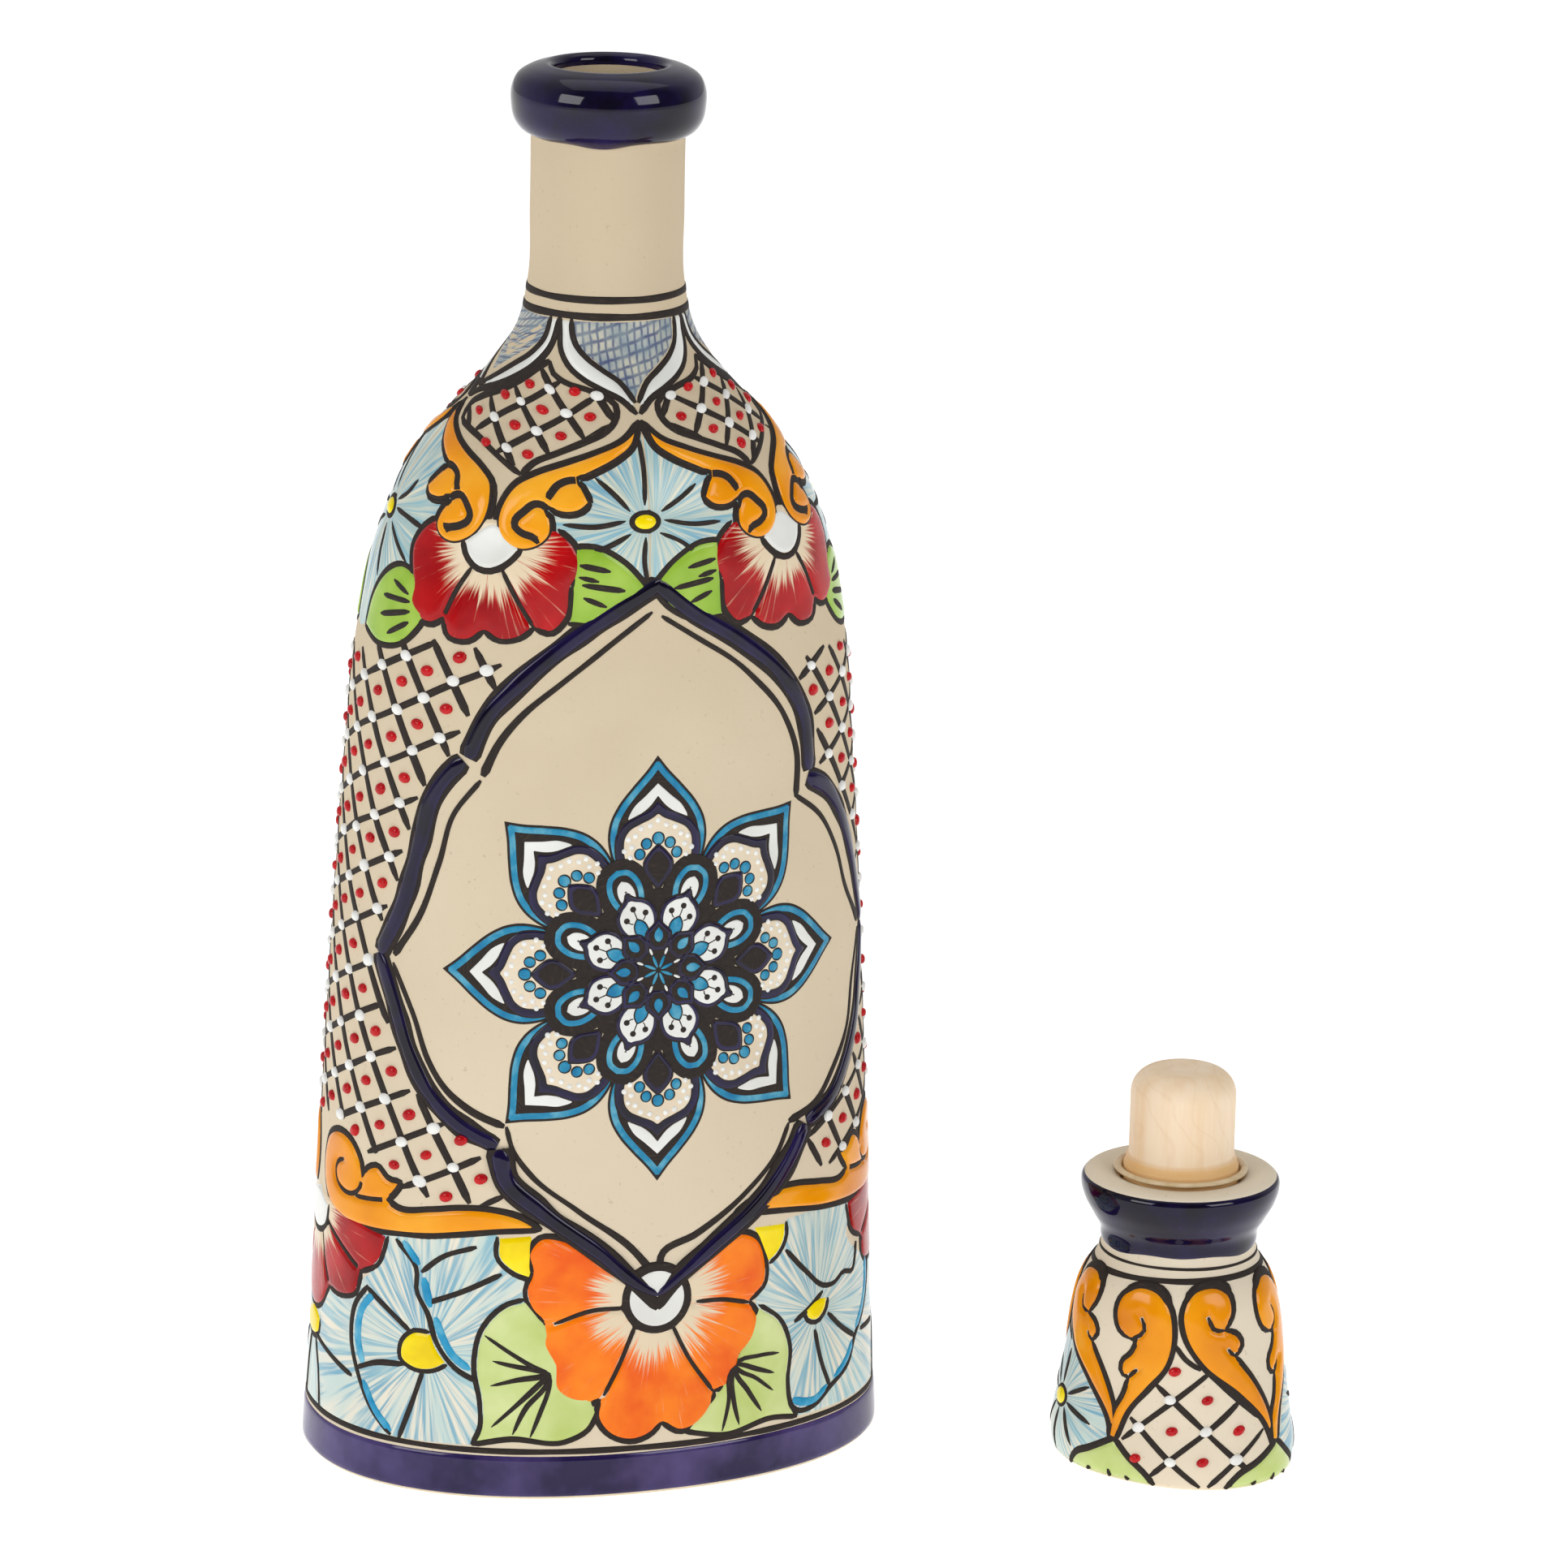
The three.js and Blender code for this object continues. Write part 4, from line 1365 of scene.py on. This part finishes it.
def trellis(face, outline, origin, slopes, spacings, widths=(1.3, 1.7), margin=1.3, shortest=3.0,
            bead_scale=1.0):
    """Two families of hand-drawn lines across a field, a white bead on each crossing and a red bead in each
    cell."""
    outline = np.asarray(outline, float)
    origin = np.asarray(origin, float)
    directions = [np.array([math.cos(math.radians(a)), math.sin(math.radians(a))]) for a in slopes]
    reach = int(np.ptp(outline, axis=0).sum() / min(spacings)) + 2
    steps = [directions[1] * spacings[1], directions[0] * spacings[0]]
    for direction, step, width in zip(directions, steps, widths):
        for k in range(-reach, reach + 1):
            for low, high in crossings(origin + step * k, direction, outline):
                low, high = low + DICE.uniform(0, 1.2), high - DICE.uniform(0, 1.2)
                if high - low > shortest:
                    ends = [origin + step * k + direction * t for t in np.linspace(low, high, 5)]
                    stroke("line", face, ends, width, 0.18, step=2.0, wander=0.16)
    counts = range(-reach, reach)
    corners = np.array([origin + steps[0] * i + steps[1] * j for i in counts for j in counts])
    middles = corners + (steps[0] + steps[1]) / 2
    for spots, (colour, long, short, tilt) in zip((corners, middles), TRELLIS_BEADS):
        spots = spots[inside(spots, outline)]
        for spot in spots[edge_distance(spots, outline) > margin]:
            at = spot + DICE.normal(0, 0.25, 2)
            turn = math.radians(slopes[0]) * tilt + DICE.normal(0, 0.2)
            bead(colour, face, at, long * bead_scale, short * bead_scale, BEAD_HIGH * bead_scale, turn)


def edge_at(v, runs):
    """Where the medallion's frame stands at height v."""
    points = np.concatenate([run(points, 1.0) for points in runs])
    points = points[np.argsort(points[:, 1])]
    return np.interp(v, points[:, 1], points[:, 0])


FRAME_CLEAR = 3.0
LATTICE_TOP = ((-31, 174), (-32, 177.5), (-46, 178.2), (-60, 177.5), (-68, 173.5), (-76, 171.5),
               (-90, 172), (-104, 172.5))
LATTICE_FOOT = ((-106, 63), (-100, 72), (-92, 73.6), (-86, 69), (-82, 71), (-78, 74), (-71, 73.6),
                (-64, 69.6), (-59, 69.6), (-54, 62.6), (-40, 61.8), (-30, 62.6))
LATTICE_ORIGIN = (-56.4, 162.7)
LATTICE_SLOPES = (25.6, -62)
LATTICE_SPACINGS = (7.9, 9.0)


def side_trellis(face):
    """The lattice between this face's medallion and the next one's, round the narrow side to the left."""
    v = np.linspace(64, 172, 40)
    near = edge_at(v, MEDALLION[:4]) - FRAME_CLEAR
    far = edge_at(v, MEDALLION[4:]) + FRAME_CLEAR - BODY.girth(v) / 2
    sides = [np.stack([near, v], -1), LATTICE_TOP, np.stack([far, v], -1)[::-1], LATTICE_FOOT]
    trellis(face, np.concatenate(sides), LATTICE_ORIGIN, LATTICE_SLOPES, LATTICE_SPACINGS)


# ---------------------------------------------------------------- the shoulder and the neck

DRAWN_CENTRE = -3.7
DRAWN_SIDE = -95.4
RIGHT_SIDE = 88.0
BACK_CENTRE = 180
LEFT_SIDE = 264.6
RIGHT_HALF_CENTRE = -2.2
QUARTERS = ((DRAWN_CENTRE, DRAWN_SIDE), (RIGHT_HALF_CENTRE, RIGHT_SIDE), (BACK_CENTRE, RIGHT_SIDE),
            (BACK_CENTRE, LEFT_SIDE))


def quarter_face(centre, side):
    """A quarter of the shoulder, between the middle of a broad side and of a narrow one."""
    scale = (side - centre) / (DRAWN_SIDE - DRAWN_CENTRE)
    return Face(BODY, centre - DRAWN_CENTRE * scale, scale)


LAPPET_OUT = ((-51.6, 247.2), (-49.6, 244.4), (-46.3, 240.8), (-38, 237.2), (-30, 235), (-20, 232.8),
              (-10, 230.4), (-3.7, 227))
LAPPET_IN = ((-42.4, 247.2), (-40.7, 244.1), (-38, 242.3), (-30, 239.5), (-20, 236.9), (-10, 234),
             (-6.7, 232), (-3.7, 229.6))
SIDE_LAPPET_OUT = ((-51.6, 247.2), (-54, 241.5), (-60, 237.2), (-70, 233.4), (-80, 230.8), (-90, 228.6),
                   (-95.4, 226.3))
SIDE_LAPPET_IN = ((-59, 247.2), (-60.6, 243), (-66, 239.6), (-76, 236), (-86, 232.6), (-92, 230.6),
                  (-95.4, 229))
PANEL_IN = ((-51.5, 238.2), (-47.8, 235.9), (-40, 234.1), (-25.5, 232.4), (-16.5, 230.7), (-13.3, 229.5),
            (-12.4, 227.4), (-13.9, 225), (-18, 222.7), (-24, 221), (-35, 217.9), (-41.2, 215.9),
            (-44.6, 213))
PANEL_IN_LEFT = ((-44.6, 213), (-50.7, 214.8), (-59, 217.2), (-67.4, 219.3), (-75.7, 220.6), (-84.4, 222),
                 (-87.2, 224.8), (-83, 227.6), (-72, 230.4), (-63.8, 233.4), (-56, 236.8), (-51.5, 238.2))
SCROLL = closed(
    ((-10, 221.6), (-20, 218.7), (-30, 216.2), (-40, 213.5), (-45.5, 211), (-48, 207.2), (-48.4, 204.8),
     (-47.9, 202.4), (-46.2, 200), (-43.9, 198.5), (-38.6, 197.3), (-35.8, 197.7), (-32.9, 198.9),
     (-31, 200.8), (-30.9, 202.7), (-31.7, 204.6), (-33.1, 206)),
    ((-28.1, 205.1), (-23.6, 205.6), (-20.3, 207.6)), ((-22.7, 210.3), (-24.8, 212.4)),
    ((-20, 214), (-12.7, 216.6), (-7, 219.4), (-3.2, 225.6)),
)
SCROLL_CREASES = (
    ((-33.1, 206), (-35, 207), (-36.7, 207.2), (-40.5, 205.3), (-42.3, 203.6), (-42.2, 202.6),
     (-40, 201.3), (-36.7, 200.6)),
    ((-24.8, 212.4), (-28.1, 212.3), (-31.6, 211.2), (-33.6, 209)),
)
MIRROR_AT = -49.4

SHOULDER_RED_AT = (-47.8, 198.5)
SHOULDER_RED = closed(
    ((-72.4, 199.6), (-74.3, 195.6), (-72, 191), (-70.6, 188.6)),
    ((-70.6, 184.6), (-66.4, 181.6), (-61, 181.2), (-58.6, 182.6)),
    ((-56.6, 179.2), (-50.5, 178.6), (-46.6, 181)), ((-42.6, 179.2), (-37, 179.8), (-33.4, 182)),
    ((-29, 181), (-25, 184), (-24.2, 190.6)),
    ((-22.3, 193), (-22.4, 196.5), (-24.4, 199.2), (-29.8, 202.4)), ((-48, 204), (-68, 202.2)),
)
SHOULDER_DIVIDERS = (
    ((-52.5, 193.4), (-55.6, 188.8), (-58.6, 182.6)), ((-43.6, 193.4), (-38.6, 187.6), (-33.4, 182)),
)
HALF_DISC = closed(
    ((-54.5, 195.6), (-51, 193.5), (-47.4, 193), (-43.9, 193.9), (-41.2, 195.5), (-38.6, 198)),
    ((-48, 203), (-57, 199)),
)
LEAF_IN = closed(
    ((-18, 198.6), (-10.4, 195.6), (-3.4, 190.2)), ((-9, 185.4), (-16.4, 182.6), (-24.6, 183)),
    ((-24.6, 198.9),),
)
LEAF_IN_VEINS = (
    ((-22.6, 195), (-14, 193.6)), ((-21.6, 191), (-9.8, 189.6)), ((-21, 188.4), (-14.6, 186.4)),
    ((-22.6, 192.6), (-17, 191.6)),
)
LEAF_OUT = closed(
    ((-76, 191.4), (-83.5, 188.8), (-88.6, 183.6), (-90.4, 176.6)),
    ((-80, 174.6), (-71, 176), (-66, 179.6), (-63.4, 182.6)), ((-69, 190.4),),
)
LEAF_OUT_VEINS = (
    ((-70.5, 186), (-77.6, 188)), ((-69.6, 184.6), (-81, 184.4)), ((-69, 182.6), (-81, 180.6)),
    ((-69, 180.6), (-76.6, 177.2)),
)
SIDE_EDGE = -95.85
SKY_FRONT = closed(
    ((-16, 220), (-30, 215.6), (-42, 206), (-42, 199), (-30, 198)),
    ((-24.6, 198.4), (-16, 197), (-2.6, 188.2)), ((-2.6, 224.9),),
)
SIDE_EDGE_ROWS = (175, 184, 193, 201, 208, 214, 219.5, 224.6)
SKY_SIDE = (
    ((SIDE_EDGE, 224.6), (-83, 220), (-69, 215.6), (-58, 206), (-58, 199), (-66, 199)),
    ((-66, 199), (-70, 190), (-78, 190.6), (-88, 185), (-91.5, 176), (SIDE_EDGE, 175)),
    [(SIDE_EDGE, v) for v in SIDE_EDGE_ROWS],
)
DAISY_AT = (-4.3, 203.6)
SIDE_DAISY_AT = (-95.4, 200.4)
DAISY_RAYS = (
    ((0, 3.4), (0.6, 18.5)), ((0, -3.2), (0.6, -13.4)), ((-4, 0.2), (-16.6, -0.4)),
    ((4, 0.3), (16.4, -1.2)), ((-3, 2.2), (-9.4, 9.4)), ((3.4, 2), (11.4, 7.2)),
    ((-3, -2.4), (-11.6, -6.4)), ((3, -2.4), (12, -8.6)),
)


PANEL_LATTICE_AT = (-44.8, 222.5)
PANEL_SLOPES = (31, -66)
PANEL_SPACINGS = (8.4, 6.3)
LAPPETS = ((LAPPET_OUT, LAPPET_IN), (SIDE_LAPPET_OUT, SIDE_LAPPET_IN))
SHOULDER_LEAVES = ((LEAF_IN, LEAF_IN_VEINS), (LEAF_OUT, LEAF_OUT_VEINS))


def shoulder_mirrored(runs):
    """The same runs on the other side of the red flower."""
    return [[(2 * MIRROR_AT - u, v) for u, v in points] for points in runs]


def shoulder_quarter(face):
    """Neck lappets, the double-lined trellis panel, two scrolls, and a red flower between its leaves."""
    def mm(runs):
        return [face.mm(points) for points in runs]

    for runs, at in ((SKY_FRONT, DAISY_AT), (SKY_SIDE, SIDE_DAISY_AT)):
        glaze("sky", face, joined(mm(runs), FIELD_STEP), 0.12, face.mm([at])[0], grain=2.0)

    for lappet in LAPPETS:
        outer, inner = mm(lappet)
        runs = [outer, [outer[-1], inner[-1]], inner[::-1], [inner[0], outer[0]]]
        glaze("white", face, joined(runs, FINE_STEP), 0.42, grain=0.9)
        stroke("line", face, outer, 1.45)
        stroke("line", face, inner, 1.2)

    panel = mm([PANEL_IN, PANEL_IN_LEFT])
    trellis(face, joined(panel, EDGE_STEP), face.mm([PANEL_LATTICE_AT])[0], PANEL_SLOPES, PANEL_SPACINGS,
            margin=0.4, shortest=2.5, bead_scale=0.9)
    for points in panel:
        stroke("line", face, points, 1.35)

    for runs, veins in SHOULDER_LEAVES:
        outlined("leaves", face, mm(runs), 0.4, lines=(0, 1))
        for points in mm(veins):
            stroke("line", face, points, 1.2, 0.14, tips=2, base=0.38)

    outlined("red_petals", face, mm(SHOULDER_RED), 0.42, face.mm([SHOULDER_RED_AT])[0], 1.4,
             lines=range(len(SHOULDER_RED) - 1), creases=mm(SHOULDER_DIVIDERS))
    half_disc = mm(HALF_DISC)
    glaze("white", face, joined(half_disc, FINE_STEP), 0.2, base=0.38)
    stroke("line", face, half_disc[0], 1.4, base=0.32)
    for turn in (tuple, shoulder_mirrored):
        scroll, creases = mm(turn(SCROLL)), mm(turn(SCROLL_CREASES))
        glaze("line", face, joined(scroll, EDGE_STEP), 0.3, rim=0.4, start=0.1, base=0.2)
        outlined("scroll", face, scroll, 0.78, width=1.4, creases=creases)


WASH_FRONT = ((-43, 247.4), (-37.6, 242), (-23.3, 238), (-10.2, 234), (-3.7, 229))


def lappet_wash(centre):
    """The hatched wash inside a lappet, from the neck line down to its tip."""
    left = [(u - DRAWN_CENTRE + centre, v) for u, v in WASH_FRONT]
    right = [(2 * centre - u, v) for u, v in left][::-1]
    runs = [FRONT.mm(left), FRONT.mm(right), FRONT.mm([right[-1], left[0]])]
    glaze("wash", FRONT, joined(runs, EDGE_STEP), 0.06, FRONT.mm([(centre, 240)])[0], grain=1.6, rim=0.4)


def daisy(face, centre, rays, ray_width, ray_height, ring_size, heart_size, heart_height, stray=0.0):
    """A yellow heart in a black ring, with black rays."""
    for start, end in rays:
        points = [centre + start, centre + end]
        if stray:
            points.insert(1, centre + ((np.array(start) + end) / 2 + DICE.normal(0, stray, 2)))
        stroke("line", face, points, ray_width, ray_height, tips=3, base=0.1)
    glaze("line", face, disc(centre, *ring_size), 0.2, rim=0.8, base=0.1)
    glaze("yellow", face, disc(centre, *heart_size, 30), heart_height, rim=1.4, base=0.14)


def shoulder_daisy(angle, at):
    face = Face(BODY, angle)
    daisy(face, face.mm([at])[0], DAISY_RAYS, 1.05, 0.16, (3.9, 3.0), (2.8, 2.1), 0.6, stray=0.35)


NECK_LINES = (251.2, 247.8)


FOOT_LINE = 10.3
FOOT_BAND = (0.9, 9.4)


def paint_decanter():
    for v in NECK_LINES:
        ring_line(BODY, v, 1.5)
    for centre in (DRAWN_CENTRE, RIGHT_SIDE, BACK_CENTRE, LEFT_SIDE):
        lappet_wash(centre)
    for centre, side in QUARTERS:
        shoulder_quarter(quarter_face(centre, side))
    for angle in (0, BACK_CENTRE):
        shoulder_daisy(angle, DAISY_AT)
    for angle in (0, RIGHT_SIDE - DRAWN_SIDE):
        shoulder_daisy(angle, SIDE_DAISY_AT)
    for face in STAMPS:
        side_trellis(face)
        fans(face)
        orange_flower(face)
        medallion(face)
        mandala(face)
    for face in SIDES:
        side_band(face)
    ring_line(BODY, FOOT_LINE, 1.2)
    band("foot_band", BODY, *FOOT_BAND, 0.3)


# ---------------------------------------------------------------- the painted cap

CAP_TURNS = (0, 91, 180, 271)
CAP_SCROLL_RIGHT = closed(
    ((0.3, 15.3), (4.7, 21.3), (8.7, 26.7), (10, 34), (8.7, 39.3), (5.3, 42.7), (1.3, 43.3), (-2.5, 40.4),
     (-3.3, 36), (-2, 32.9), (0.3, 31.8)),
    ((1.6, 31.6), (0.9, 29), (-1.5, 26.2), (-1.5, 24), (0.3, 23)),
    ((-0.9, 19.3), (-3.2, 14.7), (-3.9, 9.4)), ((-1.9, 9),),
)
CAP_RIGHT_CREASES = (
    ((0.3, 31.8), (2.2, 32.4), (3.6, 34.2), (2.8, 36.6)), ((0.3, 23), (1, 24), (2.2, 25.2)),
)
CAP_SCROLL_LEFT = closed(
    ((31, 13.4), (24, 20.5), (15.6, 27.5), (12, 33.5), (11.1, 39), (12.4, 42.8), (17, 43.7), (21.2, 41.2),
     (22.3, 37.6), (20.6, 34.4)),
    ((23.4, 33.4), (24.8, 31.2), (23.2, 28.6)), ((28.2, 22.6), (32.2, 16), (34.4, 8)), ((34, 7.6),),
)
CAP_LEFT_CREASES = (
    ((20.6, 34.4), (18.4, 34.6), (16.6, 37.4)), ((23.2, 28.6), (22.4, 29.2), (21.4, 30.4)),
)
CAP_HEADS = (
    ((-1.6, 41.2), (1.4, 43.3), (5.6, 43), (8.4, 40)), ((11.6, 40.8), (13, 43.4), (17.4, 44), (20.8, 42)),
)
CAP_LEAF = closed(
    ((-8.7, 5.8), (-12.4, 3.9), (-15, 0.7)), ((-4, 0.9), (7, 0.7)), ((4.8, 3.3), (1.4, 6), (-2.3, 9.5)),
)
CAP_LEAF_VEINS = (((-3.1, 0.9), (-3.3, 2.6)), ((-9, 1), (-8.2, 1.8)), ((1.4, 1), (0.6, 1.8)))
CAP_PANEL = closed(
    ((4.7, 21.3), (8.7, 26.7), (12, 28.8), (15, 28), (24, 20.5), (31, 13.4), (34, 8.2)),
    ((28.6, 4.4), (24, 0.9)), ((7.2, 0.9),), ((1.6, 6), (-1.7, 9.4)),
)
CAP_SPUR = ((10, 31.6), (12.4, 28.4), (15.6, 26.2))
CAP_DAISY_AT = (15.2, 13.6)
CAP_DAISY_RAYS = (
    ((-3, 1), (-10, 3.4)), ((3, 1.2), (9.6, 5)), ((0, 2.8), (0.6, 11)), ((0.2, -2.6), (-0.4, -12)),
    ((-2.4, -2), (-7.4, -9)), ((2.4, -2), (7.6, -9)), ((-2.2, 2.2), (-5, 8)), ((3, -0.6), (12, -3)),
)


CAP_SCROLLS = ((CAP_SCROLL_RIGHT, CAP_RIGHT_CREASES, CAP_HEADS[0]),
               (CAP_SCROLL_LEFT, CAP_LEFT_CREASES, CAP_HEADS[1]))


CAP_LATTICE = {"origin": (10.2, 19.3), "slopes": (42.5, -41.5), "spacings": (9.7, 9.5),
               "widths": (1.15, 1.25), "margin": 0.9, "bead_scale": 0.92}
CAP_LINES = ((44.6, 1.3, 0.3), (47.4, 0.6, 0.2))


def paint_cap():
    """Round the cap, four leaf tips with a pair of scrolls each, and trellis and daisy panels by turns."""
    panel = joined(CAP_PANEL, EDGE_STEP)
    for index, turn in enumerate(CAP_TURNS):
        face = Face(CAP, turn)
        if index % 2 == 0:
            trellis(face, panel, **CAP_LATTICE)
        else:
            glaze("sky", face, panel, 0.12, CAP_DAISY_AT, grain=1.8)
            daisy(face, np.array(CAP_DAISY_AT), CAP_DAISY_RAYS, 1.1, 0.15, (3.6, 3.2), (2.8, 2.4), 0.55)
        stroke("line", face, CAP_SPUR, 1.0)
        outlined("leaves", face, CAP_LEAF, 0.36, width=1.6, lines=(0, 2))
        for points in CAP_LEAF_VEINS:
            stroke("line", face, points, 0.9, 0.14, base=0.34)
        for runs, creases, head in CAP_SCROLLS:
            outlined("scroll", face, runs, 0.6, grain=0.9, lines=(0, 1, 2), creases=creases)
            stroke("line", face, head, 2.2, 0.3, base=0.1)
    for v, width, waviness in CAP_LINES:
        ring_line(CAP, v, width, waviness)


BODY_LIP_GLAZE = ((275.1, 15.85), *LIP[1:-1], (286.9, 11.25))
CAP_RIM_GLAZE = ((48.3, 16.0), (50.6, 16.1), (54, 17.9), (57.5, 19.7), (60.2, 20.3), (61.4, 20.15),
                 (62.1, 19.4))

# ---------------------------------------------------------------- studio

FLOOR_HALF = 5.0
SOFTBOXES = (
    ("key_left", (-1.66, -0.74, 0.95), (0.95, 0.8), 13.0),
    ("key_right", (0.9, -1.56, 1.0), (0.95, 0.8), 12.0),
    ("overhead", (0.1, 0.1, 1.9), (1.8, 1.8), 6.5),
)
LIGHT_TARGET = (0.03, -0.01, 0.15)


def make_studio():
    """A pale table, two tall softboxes in front, one overhead, and a bright surround behind."""
    mesh = bpy.data.meshes.new("table")
    h = FLOOR_HALF
    mesh.from_pydata([(-h, -h, 0), (h, -h, 0), (h, h, 0), (-h, h, 0)], [], [(0, 1, 2, 3)])
    floor = bpy.data.objects.new("table", mesh)
    bpy.context.scene.collection.objects.link(floor)
    f = Finish("pale_table", roughness=0.9, gloss=0.0)
    f.colour(f.ramp(f.noise(f.place(), 2.0, 1), (0.3, rgb(250, 250, 250)), (0.7, rgb(253, 253, 253))))
    f.shader.inputs["Emission Color"].default_value = (1, 1, 1, 1)
    f.shader.inputs["Emission Strength"].default_value = 0.6
    mesh.materials.append(f.material)
    for name, place, size, power in SOFTBOXES:
        light = bpy.data.lights.new(name, "AREA")
        light.shape = "RECTANGLE"
        light.size, light.size_y = size
        light.energy = power
        lamp = bpy.data.objects.new(name, light)
        bpy.context.scene.collection.objects.link(lamp)
        lamp.location = place
        lamp.rotation_euler = (Vector(LIGHT_TARGET) - Vector(place)).to_track_quat("-Z", "Y").to_euler()
    world = bpy.data.worlds.new("studio")
    bpy.context.scene.world = world
    world.use_nodes = True
    tree = world.node_tree
    direction = tree.nodes.new("ShaderNodeTexCoord").outputs["Generated"]
    split = tree.nodes.new("ShaderNodeSeparateXYZ")
    tree.links.new(direction, split.inputs[0])
    fade = tree.nodes.new("ShaderNodeMapRange")
    for key, value in (("From Min", -0.35), ("From Max", 0.25), ("To Min", 0.12), ("To Max", 0.55)):
        fade.inputs[key].default_value = value
    tree.links.new(split.outputs[1], fade.inputs["Value"])
    tree.links.new(fade.outputs["Result"], tree.nodes["Background"].inputs["Strength"])
    tree.nodes["Background"].inputs["Color"].default_value = (1, 1, 1, 1)


# ---------------------------------------------------------------- the whole

decanter_shell()
cap_shell()
bung_piece()
glue_bead()
lathe_glaze("decanter_lip_glaze", BODY_LIP_GLAZE, BODY, "decanter")
lathe_glaze("stopper_rim_glaze", CAP_RIM_GLAZE, CAP, "stopper")
paint_decanter()
paint_cap()
for wall in (BODY, CAP):
    for paint in wall.paints.values():
        paint.build()
make_studio()
